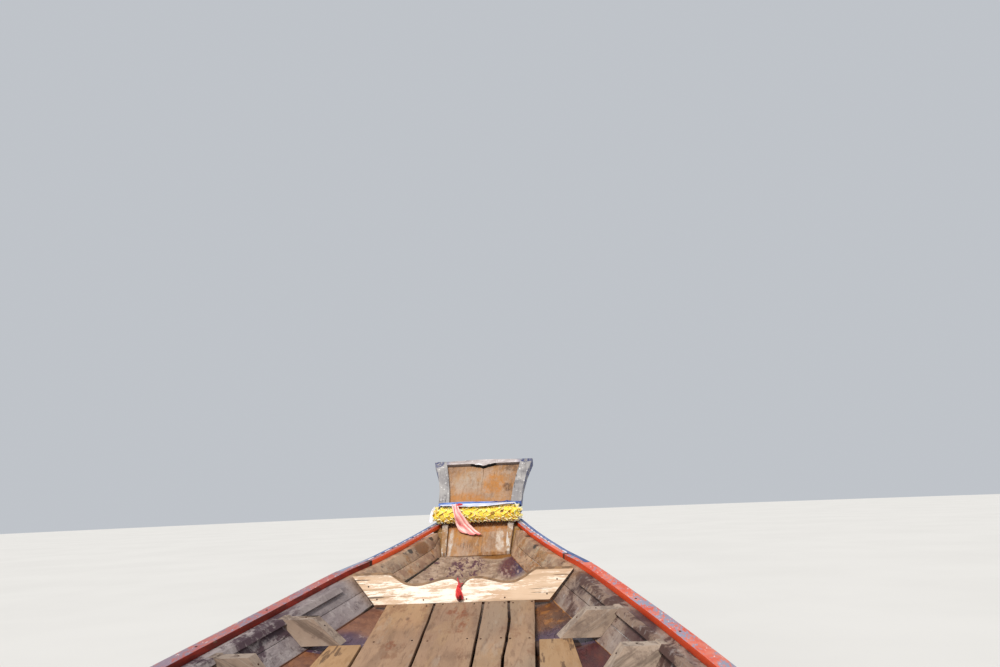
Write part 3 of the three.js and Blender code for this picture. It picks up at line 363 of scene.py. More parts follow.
class Finish:
    """A procedural material whose colour, roughness and relief are built from layers."""

    def __init__(self, name, roughness=0.75, metallic=0.0, specular=0.35):
        self.material = bpy.data.materials.new(name)
        self.material.use_nodes = True
        self.tree = self.material.node_tree
        self.shader = self.tree.nodes["Principled BSDF"]
        self.shader.inputs["Roughness"].default_value = roughness
        self.shader.inputs["Metallic"].default_value = metallic
        self.shader.inputs["Specular IOR Level"].default_value = specular
        place = self.tree.nodes.new("ShaderNodeTexCoord")
        self.at = place.outputs["Object"]
        self.x, self.y, self.z = self.parts(self.at)
        self.face_x, self.face_y, self.face_z = self.parts(place.outputs["Normal"])
        self.colour = None
        self.height = None
        self.rough = None

    def put(self, socket, value):
        if isinstance(value, bpy.types.NodeSocket):
            self.tree.links.new(value, socket)
        elif isinstance(value, int) and socket.type == "RGBA":
            socket.default_value = linear(value)
        else:
            socket.default_value = value

    def math(self, operation, a, b=0.0, c=None):
        node = self.tree.nodes.new("ShaderNodeMath")
        node.operation = operation
        for socket, value in zip(node.inputs, (a, b) if c is None else (a, b, c)):
            self.put(socket, value)
        return node.outputs[0]

    def times(self, a, b):
        return self.math("MULTIPLY", a, b)

    def plus(self, a, b):
        return self.math("ADD", a, b)

    def invert(self, a):
        return self.math("SUBTRACT", 1.0, a)

    def absolute(self, a):
        return self.math("ABSOLUTE", a)

    def vector(self, operation, a, b=(0, 0, 0)):
        node = self.tree.nodes.new("ShaderNodeVectorMath")
        node.operation = operation
        self.put(node.inputs[0], a)
        self.put(node.inputs[1], b)
        return node.outputs["Value" if operation in ("LENGTH", "DOT_PRODUCT") else "Vector"]

    def stretch(self, scale, turn=(0, 0, 0)):
        """The place turned first and then scaled, so that a grain can run along a slope."""
        at = self.at
        for kind, value in (("Rotation", turn), ("Scale", scale)):
            if tuple(value) == (0, 0, 0):
                continue
            node = self.tree.nodes.new("ShaderNodeMapping")
            self.put(node.inputs["Vector"], at)
            node.inputs[kind].default_value = value
            at = node.outputs[0]
        return at

    def noise(self, vector, scale, detail=3.0, roughness=0.55, distortion=0.0):
        node = self.tree.nodes.new("ShaderNodeTexNoise")
        self.put(node.inputs["Vector"], vector)
        node.inputs["Scale"].default_value = scale
        node.inputs["Detail"].default_value = detail
        node.inputs["Roughness"].default_value = roughness
        node.inputs["Distortion"].default_value = distortion
        return node.outputs["Fac"]

    def spots(self, low, high, scale, detail=3.0, roughness=0.55, distortion=0.0, along=None):
        """0 to 1 where noise goes from low to high; along is a stretch or a stretched place."""
        return self.span(self.noise(self.laid(along), scale, detail, roughness, distortion), low, high)

    def stray(self, amount, scale, detail=3.0, along=None):
        """Noise about zero that makes an edge ragged."""
        return self.times(self.math("SUBTRACT", self.noise(self.laid(along), scale, detail), 0.5), amount)

    def laid(self, along):
        if along is None:
            return self.at
        return self.stretch(along) if isinstance(along, tuple) else along

    def cells(self, vector, scale, feature="F1"):
        node = self.tree.nodes.new("ShaderNodeTexVoronoi")
        node.feature = feature
        self.put(node.inputs["Vector"], vector)
        node.inputs["Scale"].default_value = scale
        return node.outputs["Distance"]

    def wave(self, vector, scale, direction="X"):
        node = self.tree.nodes.new("ShaderNodeTexWave")
        node.bands_direction = direction
        self.put(node.inputs["Vector"], vector)
        node.inputs["Scale"].default_value = scale
        return node.outputs["Fac"]

    def span(self, value, low, high, out_low=0.0, out_high=1.0):
        """Maps a range to 0..1 with soft ends; low may be above high."""
        node = self.tree.nodes.new("ShaderNodeMapRange")
        node.interpolation_type = "SMOOTHSTEP"
        flip = low > high
        self.put(node.inputs["Value"], value)
        node.inputs["From Min"].default_value = min(low, high)
        node.inputs["From Max"].default_value = max(low, high)
        node.inputs["To Min"].default_value = out_high if flip else out_low
        node.inputs["To Max"].default_value = out_low if flip else out_high
        return node.outputs[0]

    def parts(self, vector):
        node = self.tree.nodes.new("ShaderNodeSeparateXYZ")
        self.tree.links.new(vector, node.inputs[0])
        return node.outputs[:3]

    def mix(self, share, a, b):
        node = self.tree.nodes.new("ShaderNodeMix")
        node.data_type = "RGBA"
        self.put(node.inputs["Factor"], share)
        self.put(node.inputs[6], a)
        self.put(node.inputs[7], b)
        return node.outputs[2]

    def value(self, name):
        """A number stored on the piece's points."""
        node = self.tree.nodes.new("ShaderNodeAttribute")
        node.attribute_name = name
        return node.outputs["Fac"]

    def near(self, centre, radius, ragged=0.0, grain=12.0):
        """1 inside a round or oval spot, 0 outside, with a ragged rim."""
        offset = self.vector("SUBTRACT", self.at, centre)
        size = radius if isinstance(radius, tuple) else (radius,) * 3
        reach = self.vector("LENGTH", self.vector("DIVIDE", offset, size))
        if ragged:
            reach = self.plus(reach, self.stray(ragged, grain, 4))
        return self.span(reach, 1.0, 0.6)

    def over(self, base, share, colour, amount=1.0):
        """A colour with another laid over it where share is 1."""
        if amount != 1.0:
            share = self.times(share, amount)
        return self.mix(share, base, colour)

    def lay(self, share, colour, amount=1.0):
        self.colour = self.over(self.colour, share, colour, amount)

    def raise_by(self, height, amount):
        part = self.times(height, amount)
        self.height = part if self.height is None else self.plus(self.height, part)

    def done(self, relief=0.004):
        self.put(self.shader.inputs["Base Color"], self.colour)
        if self.rough is not None:
            self.put(self.shader.inputs["Roughness"], self.rough)
        if self.height is not None:
            node = self.tree.nodes.new("ShaderNodeBump")
            node.inputs["Strength"].default_value = 1.0
            node.inputs["Distance"].default_value = relief
            self.put(node.inputs["Height"], self.height)
            self.tree.links.new(node.outputs[0], self.shader.inputs["Normal"])
        return self.material


ALONG_BOAT = (1, 0.05, 1)
ACROSS_BOAT = (0.05, 1, 1)


def wood(finish, light, middle, dark, scale=1.0, stretch=ALONG_BOAT, turn=(0, 0, 0), cracks=1.0, tone=2.5):
    """Bare wood: broad tones, streaks, fibres and drying cracks along the grain."""
    wander = finish.times(finish.noise(finish.at, 3.0, 2), 0.05)
    grain = finish.vector("ADD", finish.stretch(stretch, turn), wander)
    broad = finish.spots(0.34, 0.66, tone, 3)
    streak = finish.noise(grain, 45 * scale, 4, 0.6, 0.4)
    fibre = finish.noise(grain, 210 * scale, 3, 0.65)
    figure = finish.noise(grain, 14 * scale, 3, 0.5, 1.2)
    slow = finish.stretch(tuple(part if part == 1 else part * 0.2 for part in stretch), turn)
    line = finish.absolute(finish.math("SUBTRACT", finish.noise(slow, 30 * scale, 1), 0.5))
    crack = finish.times(finish.span(line, 0.010, 0.002), finish.spots(0.53, 0.62, 6, 2))
    finish.colour = finish.mix(broad, light, middle)
    finish.lay(finish.span(figure, 0.5, 0.68), dark, 0.35)
    finish.lay(finish.span(streak, 0.52, 0.74), dark, 0.55)
    finish.lay(finish.span(fibre, 0.55, 0.8), dark, 0.3)
    finish.lay(finish.span(fibre, 0.42, 0.25), light, 0.35)
    finish.lay(crack, 0x1c1512, 0.85 * cracks)
    finish.raise_by(fibre, 0.35)
    finish.raise_by(streak, 0.35)
    finish.raise_by(crack, -0.8 * cracks)
    return grain


def inside_share(finish):
    """1 on faces that look into the boat, 0 on those that look out of it."""
    out = finish.times(finish.face_x, finish.math("SIGN", finish.x))
    down = finish.math("SUBTRACT", finish.times(out, 0.8), finish.face_z)
    ahead = finish.span(finish.face_y, 0.3, 0.6)
    astern = finish.span(finish.face_y, -0.6, -0.3)
    return finish.math("MAXIMUM", finish.times(finish.span(down, 0.05, -0.05), astern), ahead)


def hull_patches(f, share):
    """Dark damp patches and pale scuffs, the same over the planks and what is fixed to them."""
    patches = f.noise(f.stretch((1, 0.8, 1)), 7.5, 8, 0.72, 0.5)
    aft = f.span(f.y, 3.36, 3.12)
    starboard = f.span(f.x, -0.05, 0.05)
    most = f.plus(f.times(f.math("MAXIMUM", aft, starboard), 0.8), 0.2)
    blotch = f.times(f.span(patches, 0.48, 0.55), most)
    f.lay(f.times(share, blotch), f.mix(starboard, 0x3c2230, 0x482f2c), 0.88)
    f.lay(f.times(share, f.span(patches, 0.45, 0.36)), f.mix(starboard, 0xb6adab, 0xa3958c), 0.6)
    f.lay(f.times(share, f.spots(0.54, 0.66, 40, 6, 0.7, along=(1, 1, 0.25))), 0xa89e9a, 0.5)
    f.lay(f.times(share, f.spots(0.55, 0.68, 90, 5, 0.68, along=(1, 1, 0.3))), 0x4e4040, 0.5)


# Marks on the planks inside: place, and half sizes where a mark isn't a small drip
DAMP_RIB = ((0.61, 3.0, 0.42), (0.08, 0.16, 0.09))
ORANGE_STAIN = ((-0.25, 4.13, 0.60), (0.05, 0.09, 0.04))
PEELED_MIDDLE = ((-0.03, 4.10, 0.5), (0.11, 0.17, 0.2))
PEELED_PORT = ((-0.15, 4.02, 0.5), (0.09, 0.20, 0.2))
# The wet patch's place and size; its colour is painted reflection.
WET_GLOSS_AND_REFLECTION = ((0.190, 4.06, 0.50), (0.085, 0.185, 0.2))
OCHRE_CORNER = ((0.115, 4.215, 0.54), (0.10, 0.045, 0.1))
DRIP_SIZE = (0.02, 0.022, 0.017)
BOW_DRIPS = ((-0.287, 4.035, 0.592), (-0.222, 4.245, 0.636), (0.262, 4.20, 0.63), (0.300, 4.03, 0.59))


def bow_brown(f, grain):
    """The bow's planks inside: oiled brown, with pale, orange and dark patches and a few drips."""
    warm = f.mix(f.spots(0.4, 0.6, 13, 5, 0.65), 0xb89678, 0x937058)
    warm = f.over(warm, f.spots(0.54, 0.64, 24, 5, 0.7), 0xbba88e, 0.6)
    warm = f.over(warm, f.spots(0.55, 0.63, 7.5, 5, 0.66), 0x9a6222, 0.7)
    warm = f.over(warm, f.spots(0.60, 0.66, 32, 5, 0.7), 0x4c3320, 0.75)
    warm = f.over(warm, f.spots(0.55, 0.72, 70, 4, along=grain), 0x66503c, 0.4)
    warm = f.over(warm, f.near(*ORANGE_STAIN, 0.9, 26), 0x7d4a16, 0.85)
    for mark in BOW_DRIPS:
        warm = f.over(warm, f.near(mark, DRIP_SIZE, 1.1, 60), 0x2e1c12, 0.9)
    return warm


def rib_bay(f):
    """Metres forward of the aft face of the rib behind."""
    return f.math("MODULO", f.plus(f.y, 100 * RIB_STEP - RIB_FIRST), RIB_STEP)


def bottom_inside(f, bow):
    """Peeled and wet paint in the bow, the wet patch's purple and blue colour and pale streaks being painted
    reflection; aft of it a brown bilge with pools between the ribs, whose purple colour is painted reflection
    and whose pale ripples are painted glints.
    """
    pale = f.mix(f.spots(0.4, 0.6, 26, 5, 0.65), 0xb29a86, 0x8c7461)
    f.lay(bow, pale, 0.8)
    flakes = f.noise(f.stretch((1, 0.42, 1)), 44, 5, 0.68, 0.3)
    centre = f.near(*PEELED_MIDDLE, 0.5, 12)
    few = f.near(*PEELED_PORT, 0.6, 12)
    peeled = f.math("MAXIMUM", f.times(centre, f.span(flakes, 0.49, 0.53)),
                    f.times(few, f.span(flakes, 0.55, 0.59)))
    f.lay(f.times(peeled, bow), 0x54323f, 0.95)
    f.lay(f.times(bow, f.spots(0.58, 0.66, 70, 4, along=(1, 0.2, 1))), 0x6a5748, 0.6)
    # The wet, glossy patch: its purple and blue colour and its pale streaks are painted reflection.
    gloss = f.near(*WET_GLOSS_AND_REFLECTION, 0.30, 14)
    run = f.noise(f.stretch((1, 0.06, 1)), 70, 3)
    wet = f.mix(f.span(f.plus(f.x, f.times(run, 0.06)), 0.20, 0.26), 0x562b3a, 0x27264f)
    wet = f.over(wet, f.times(f.span(run, 0.5, 0.66), f.span(f.y, 4.12, 3.98)), 0xa58a80)
    f.lay(gloss, wet)
    f.lay(f.near(*OCHRE_CORNER, 0.6, 24), 0x82510f, 0.9)
    bilge = f.times(f.invert(bow), f.spots(0.3, 0.5, 3, 3))
    # Pools between the ribs: their purple colour is painted reflection and the pale ripples on them are
    # painted glints.
    pool_reflection = f.span(f.plus(rib_bay(f), f.stray(0.12, 12, 4)), 0.22, 0.12)
    brown = f.mix(f.spots(0.4, 0.6, 9, 5, 0.65), 0x6b4228, 0x4b2d22)
    brown = f.over(brown, f.spots(0.53, 0.63, 17, 5, 0.65), 0x9c6228, 0.7)
    lighter = f.mix(f.spots(0.4, 0.6, 11, 6, 0.7), 0x95654a, 0x6e4434)
    brown = f.over(brown, f.span(f.x, 0.0, -0.1), lighter, 0.75)
    pool_reflection = f.times(f.times(pool_reflection, f.span(f.y, 3.48, 3.42)), f.span(f.y, 2.3, 2.6))
    brown = f.mix(f.times(pool_reflection, 0.85), brown, f.mix(f.span(run, 0.4, 0.6), 0x44304f, 0x3a2b45))
    ripple = f.span(f.cells(f.stretch((1, 0.8, 1), (0, 0, 0.5)), 60, "DISTANCE_TO_EDGE"), 0.05, 0.0)
    painted_glints = f.times(f.times(ripple, pool_reflection), f.spots(0.56, 0.62, 15, 3))
    brown = f.over(brown, painted_glints, 0xd8ccc6, 0.6)
    maroon = f.times(f.span(f.x, 0.30, 0.36), f.span(f.y, 3.17, 3.12))
    brown = f.mix(f.times(maroon, 0.9), brown, f.mix(f.span(run, 0.4, 0.6), 0x54262b, 0x43202a))
    f.lay(f.invert(bow), brown, 0.96)
    wetness = f.plus(f.times(gloss, 0.8), f.times(bilge, 0.8))
    f.rough = f.span(wetness, 0.0, 1.0, 0.68, 0.24)


def outside(f, grain, strake):
    """Worn paint over weathered wood, with a dark and a green line of growth at the water."""
    scum = f.plus(f.z, f.stray(0.07, 5, 4))
    outer = f.mix(f.spots(0.4, 0.66, 30, 4, along=grain), 0x5b4634, 0x3d2e24)
    outer = f.over(outer, f.spots(0.45, 0.62, 2.2, 4), 0x7a6148, 0.6)
    paint = f.noise(f.stretch((1, 0.35, 1)), 14, 6, 0.72)
    worn = f.span(paint, 0.60, 0.56)
    if strake == "topside":
        coat = f.mix(f.spots(0.35, 0.65, 3, 3), 0x3c6f74, 0x5a8785)
        outer = f.over(outer, worn, coat)
    elif strake == "bilge":
        coat = f.mix(f.spots(0.35, 0.65, 3, 3), 0x6b3a2a, 0x834c38)
        outer = f.over(outer, f.times(worn, f.spots(0.62, 0.42, 1.3, 2)), coat)
    outer = f.over(outer, f.span(scum, 0.06, 0.0), 0x2c3226)
    outer = f.over(outer, f.times(f.span(scum, 0.10, 0.03), f.spots(0.5, 0.62, 24, 4)), 0x76806a)
    f.raise_by(worn, 0.25)
    return outer


def planking(name, strake):
    """Hull planking: grey and purple inside, warm brown in the bow, worn paint outside."""
    f = Finish(name, 0.62)
    grain = wood(f, 0xaea4a2, 0x908484, 0x52454a, 0.8)
    starboard = f.span(f.x, -0.05, 0.05)
    f.lay(starboard, f.mix(f.spots(0.4, 0.6, 30, 4, along=grain), 0x97806f, 0x745c50), 0.8)
    hull_patches(f, 1.0)
    f.lay(f.near(*DAMP_RIB, 0.9, 16), 0x4b2f30, 0.75)
    speck = f.span(f.cells(f.at, 34), 0.10, 0.05)
    f.lay(f.times(speck, f.spots(0.5, 0.6, 7)), 0x3a2b2c, 0.8)
    bow = f.span(f.y, WASH_Y - 0.02, WASH_Y + 0.12)
    f.lay(bow, bow_brown(f, grain), 0.92)
    if strake == "bottom":
        bottom_inside(f, bow)
    painted = outside(f, grain, strake)
    f.colour = f.mix(inside_share(f), painted, f.colour)
    return f.done(0.0035)


# Rusty stains of the forward floor: place and half sizes
FLOOR_STAINS = (
    ((-0.01, 3.45, 0.41), (0.05, 0.07, 0.1)),
    ((0.02, 3.33, 0.385), (0.03, 0.13, 0.1)),
    ((-0.197, 3.135, 0.35), (0.02, 0.05, 0.1)),
)


def floor_wood(name, shade=0.0):
    """Foot-worn brown boards; shade above 0 gives the greyer side boards."""
    f = Finish(name, 0.7)
    wood(f, 0xac8b6f, 0x93745d, 0x5f4636, 0.8, cracks=0.25, tone=1.9)
    near = f.times(f.span(f.x, -0.11, -0.13), f.span(f.y, 3.1, 3.4))
    f.lay(near, 0xc09468, 0.45)
    starboard = f.span(f.x, 0.05, 0.13)
    f.lay(f.spots(0.48, 0.64, 7, 5, 0.62, along=(1, 0.3, 1)), 0xa68562, 0.5)
    f.lay(f.times(starboard, f.spots(0.3, 0.6, 6, 4, along=(1, 0.3, 1))), 0x96826e, 0.6)
    f.lay(f.spots(0.52, 0.64, 13, 7, 0.72, along=(1, 0.4, 1)), 0x7a5238, 0.55)
    f.lay(f.spots(0.54, 0.66, 60, 5, 0.65, along=(1, 0.08, 1)), 0x6b4f3c, 0.45)
    f.lay(f.spots(0.56, 0.66, 22, 5, 0.65, along=(1, 0.15, 1)), 0xa8998a, 0.3)
    broken = f.spots(0.42, 0.56, 34, 5, 0.65, along=(1, 0.3, 1))
    for spot, size in FLOOR_STAINS:
        f.lay(f.times(f.near(spot, size, 1.3, 24), broken), 0x7d4022, 0.65)
    knots = f.cells(f.stretch((1, 0.42, 1)), 4.3)
    f.lay(f.span(knots, 0.050, 0.022), 0x5a4034, 0.7)
    grime = f.spots(0.5, 0.7, 3.1, 4)
    f.lay(grime, 0x6b5a4c, 0.35 + shade)
    if shade > 0.1:
        f.lay(f.spots(0.25, 0.45, 9, 5, along=(1, 0.3, 1)), 0xb88d58, 0.42)
        f.lay(f.spots(0.60, 0.66, 42, 4, along=(1, 0.05, 1)), 0x4f382a, 0.7)
    f.raise_by(f.noise(f.at, 16, 3), 0.4)
    return f.done(0.003)


def frame_wood(name):
    """Ribs with flaked grey faces, lighter on starboard and darker on port as painted light and shade; the
    planks' own colours on what lies between the ribs.
    """
    f = Finish(name, 0.8)
    wood(f, 0xb8a594, 0x9c8776, 0x54453c, 0.8, stretch=(0.25, 1, 0.25), tone=3.4)
    for side, turn in ((1, 0.55), (-1, -0.55)):
        here = f.span(f.times(f.x, side), 0.0, 0.05)
        slope = f.stretch((0.08, 1, 1), (0, turn, 0))
        f.lay(f.times(here, f.spots(0.50, 0.62, 26, 7, 0.7, along=slope)), 0x4c3f37, 0.7)
        f.lay(f.times(here, f.spots(0.52, 0.66, 60, 6, 0.7, along=slope)), 0xb9aea4, 0.45)
    patches = f.noise(f.at, 11, 7, 0.72)
    f.lay(f.span(patches, 0.54, 0.66), 0x4f3d39, 0.6)
    up = f.span(f.face_z, 0.45, 0.8)
    f.lay(up, 0xa59689, 0.75)
    f.lay(f.times(up, f.spots(0.46, 0.56, 34, 6, 0.7, along=(1, 1, 0.5))), 0x5f5049, 0.75)
    bay = rib_bay(f)
    clear = f.span(bay, RIB_THICK, RIB_THICK + 0.004)
    between = f.times(clear, f.span(bay, RIB_STEP - 0.001, RIB_STEP - 0.004))
    starboard = f.span(f.x, -0.05, 0.05)
    f.lay(between, f.mix(starboard, 0x948988, 0x8a7364), 0.93)
    hull_patches(f, between)
    ribs = f.invert(between)
    # Starboard ribs lighter and port ribs darker: painted light and shade.
    f.lay(f.times(ribs, starboard), 0xcbb6a2, 0.16)
    f.lay(f.times(ribs, f.invert(starboard)), 0x7a6356, 0.2)
    return f.done(0.004)


def rail_paint(name):
    """Red paint on the sides, worn through to salmon, white and grey on top, and darker on the port top; the
    port inner faces are painted light at the bow and painted shade aft, and the faces looking forward are
    dark as end grain and painted shade.
    """
    f = Finish(name, 0.5)
    up = f.span(f.face_z, 0.55, 0.85)
    fade = f.noise(f.stretch((1, 0.3, 1)), 4, 3)
    f.colour = f.mix(f.span(fade, 0.35, 0.65), 0xe04c1c, 0xcc3f17)
    drip = f.noise(f.stretch((1, 0.12, 1)), 30, 4, 0.6)
    f.lay(f.span(drip, 0.56, 0.72), 0x9e2c14, 0.5)
    top = f.mix(f.spots(0.38, 0.6, 16, 5, 0.65, along=(1, 0.5, 1)), 0xd85a40, 0xdf7c66)
    broad = f.stray(0.5, 11, 3, along=(1, 0.4, 1))
    patches = f.plus(f.noise(f.stretch((1.2, 0.45, 1)), 60, 8, 0.8, 0.3), broad)
    top = f.over(top, f.span(patches, 0.49, 0.54), 0x9494a8)
    top = f.over(top, f.span(f.x, 0.0, -0.05), 0x8a5f64, 0.55)
    bare = f.noise(f.stretch((1.2, 0.5, 1)), 75, 6, 0.75)
    top = f.over(top, f.span(bare, 0.60, 0.65), 0xefe0dc, 0.8)
    f.lay(up, top)
    # Port inner faces: bright orange as painted light at the bow, dark maroon as painted shade aft of it.
    port = f.times(f.span(f.x, 0.0, -0.05), f.span(f.face_x, 0.3, 0.6))
    fore = f.span(f.y, 3.79, 3.80)
    f.lay(f.times(port, fore), 0xf2602e, 0.9)
    port = f.times(port, f.invert(fore))
    f.lay(port, f.mix(f.span(drip, 0.4, 0.6), 0x9c2412, 0x66150c), 0.9)
    # Faces looking forward: dark as end grain and as painted shade.
    f.lay(f.span(f.face_y, 0.6, 0.9), 0x3b201a, 0.95)
    joint = f.absolute(f.plus(f.y, -3.786))
    f.lay(f.span(joint, 0.014, 0.007), 0x2a1512, 0.92)
    chips = f.noise(f.stretch((1, 0.5, 1)), 44, 4, 0.7)
    f.lay(f.times(f.invert(up), f.span(chips, 0.66, 0.70)), 0x7a5f50, 0.9)
    f.raise_by(patches, 0.5)
    f.raise_by(bare, 0.4)
    return f.done(0.0016)


def strip_paint(name):
    """Faded blue paint, greyer on the port side aft."""
    f = Finish(name, 0.55)
    wide = f.noise(f.stretch((1, 0.4, 1)), 12, 5, 0.65)
    f.colour = f.mix(f.span(wide, 0.4, 0.62), 0x4a5c8c, 0x6d7ba6)
    port = f.times(f.span(f.x, 0.0, -0.05), f.span(f.y, 3.86, 3.76))
    f.lay(port, f.mix(f.span(wide, 0.45, 0.6), 0xb5b2ba, 0x8e93a8), 0.9)
    worn = f.noise(f.stretch((1, 0.6, 1)), 34, 5, 0.7)
    f.lay(f.span(worn, 0.64, 0.68), 0xd8d8e2, 0.7)
    f.lay(f.spots(0.64, 0.68, 22, 5, 0.7), 0x3c3f5c, 0.7)
    f.raise_by(worn, 0.5)
    return f.done(0.0015)


# Spots of the prow board's colour: across, up the board, half sizes, colour and strength
PROW_SPOTS = (
    (-0.07, 0.70, (0.12, 0.12, 0.14), 0xb5a592, 0.6),
    (0.07, 0.66, (0.08, 0.13, 0.13), 0xb9762b, 0.8),
    (-0.08, 0.50, (0.13, 0.08, 0.08), 0xbb762c, 0.7),
    (0.05, 0.46, (0.15, 0.05, 0.06), 0xb97b3c, 0.7),
    (0.165, 0.83, (0.045, 0.05, 0.06), 0x5f4634, 0.8),
    (0.150, 0.62, (0.032, 0.06, 0.06), 0x553a28, 0.9),
    (-0.19, 0.83, (0.035, 0.06, 0.06), 0x76553c, 0.7),
    (0.0, 0.225, (0.2, 0.04, 0.05), 0xb06a18, 0.9),
    (-0.09, 0.15, (0.07, 0.07, 0.07), 0xb47a30, 0.7),
    (-0.132, 0.11, (0.013, 0.13, 0.14), 0xcfc8bf, 0.9),
    (0.115, 0.12, (0.026, 0.12, 0.13), 0xd5cabd, 0.85),
    (0.075, 0.0, (0.11, 0.03, 0.05), 0x7a4a12, 0.9),
    (0.0, 0.452, (0.035, 0.012, 0.012), 0xe0d2c0, 0.9),
)
PROW_GRAIN = {"turn": (-PROW_RAKE, 0, 0), "stretch": (1, 0.07, 1)}


def prow_wood(name):
    """Thin old varnish: grey and beige mottling with orange left in patches."""
    f = Finish(name, 0.62)
    grain = wood(f, 0xb5957c, 0x9d7c63, 0x7d5f46, 0.9, cracks=0.5, tone=6.0, **PROW_GRAIN)
    upright = f.stretch((1, 0.35, 0.35))
    clouds = f.noise(upright, 17, 8, 0.78)
    f.lay(f.span(clouds, 0.44, 0.58), 0xad7634, 0.6)
    f.lay(f.spots(0.50, 0.62, 62, 7, 0.78, along=upright), 0x7d5c42, 0.42)
    f.lay(f.spots(0.50, 0.62, 30, 8, 0.78, along=upright), 0xb39c88, 0.6)
    broken = f.spots(0.34, 0.64, 48, 8, 0.8, along=upright)
    for x, s, size, shade, amount in PROW_SPOTS:
        spot = f.near(on_prow(x, s, 0), size, 1.1, 26)
        f.lay(f.times(spot, broken), shade, amount)
    split = f.plus(f.x, f.stray(0.016, 18, 3))
    high = f.span(f.z, 0.82, 0.88)
    f.lay(f.times(f.span(f.absolute(split), 0.0020, 0.0008), high), 0x5a3a20, 0.5)
    f.lay(f.spots(0.58, 0.7, 90, 4, along=grain), 0x6f4f30, 0.4)
    f.lay(f.spots(0.62, 0.7, 160, 3), 0x5d4630, 0.4)
    return f.done(0.003)


def cheek_wood(name):
    """Yellow-brown boards with orange and pale spots."""
    f = Finish(name, 0.7)
    wood(f, 0xa98a62, 0x94713f, 0x5c4226, 0.9, tone=9, **PROW_GRAIN)
    f.lay(f.spots(0.54, 0.62, 30, 5, 0.7), 0x8a5a1f, 0.7)
    f.lay(f.spots(0.58, 0.64, 46, 5, 0.7), 0xbfb2a0, 0.6)
    return f.done(0.002)


def line_paint(name):
    """White paint, chipped to the dark wood."""
    f = Finish(name, 0.6)
    chips = f.noise(f.stretch((1, 0.5, 1)), 40, 5, 0.7)
    f.colour = f.mix(f.span(chips, 0.52, 0.58), 0xdedce2, 0x4c3a3e)
    f.raise_by(chips, 0.5)
    return f.done(0.001)


# Blue paint left on the posts' upper corners: place across and half sizes
BLUE_CORNERS = ((-0.272, (0.035, 0.07, 0.06)), (0.262, (0.045, 0.035, 0.03)))


def post_wood(name):
    """Grey wood, brown at the foot, with old blue paint on the outer faces."""
    f = Finish(name, 0.78)
    wood(f, 0xb0aca9, 0x938f8f, 0x646061, 0.9, tone=8, **PROW_GRAIN)
    f.lay(f.spots(0.60, 0.64, 44, 5, 0.7), 0xe6e3e0, 0.8)
    f.lay(f.spots(0.55, 0.66, 18, 5, 0.65, along=(1, 1, 0.4)), 0x6a6668, 0.55)
    low = f.span(f.z, 0.70, 0.66)
    brown = f.mix(f.spots(0.42, 0.58, 20, 5, 0.65), 0xa7835a, 0x9a6a30)
    f.lay(low, brown, 0.8)
    f.lay(f.times(low, f.spots(0.50, 0.58, 40, 5, 0.7, along=(1, 0.3, 0.3))), 0xcfc9c2, 0.8)
    outer = f.span(f.times(f.face_x, f.math("SIGN", f.x)), 0.5, 0.8)
    blue = f.spots(0.47, 0.53, 26, 6, 0.7)
    f.lay(f.times(f.times(outer, blue), f.invert(low)), 0x36457c, 0.8)
    for across, size in BLUE_CORNERS:
        corner = f.near(on_prow(across, 0.885, 0.02), size, 1.3, 34)
        f.lay(f.times(corner, f.spots(0.46, 0.50, 60, 5, 0.7)), 0x2e3a6c, 0.9)
    return f.done(0.0025)


def cap_wood(name):
    """Silvered wood, whitish in spots, with painted shade on its underside, a black painted shadow under the
    middle and a painted highlight left of the middle.
    """
    f = Finish(name, 0.78)
    wood(f, 0xcfc5c4, 0xb0a4a1, 0x6c625f, 0.8, stretch=ACROSS_BOAT, tone=9)
    f.lay(f.spots(0.57, 0.62, 40, 5, 0.7), 0xe0dbdb, 0.7)
    # A white spot left of the middle: a painted highlight.
    f.lay(f.near(on_prow(-0.035, 0.850, 0.02), (0.035, 0.012, 0.012), 0.9, 60), 0xf0eef0, 0.9)
    f.lay(f.spots(0.57, 0.66, 30, 6, 0.7, along=(0.4, 1, 1)), 0x5d5963, 0.55)
    f.lay(f.span(f.absolute(f.x), 0.195, 0.22), 0x4a527c, 0.5)
    # Painted shade on faces that look down, and a black painted shadow under the middle.
    under = f.span(f.face_z, -0.2, -0.4)
    f.lay(under, 0x4a3a30, 0.8)
    f.lay(f.times(under, f.span(f.absolute(f.x), 0.085, 0.07)), 0x0c0b0d)
    return f.done(0.0025)


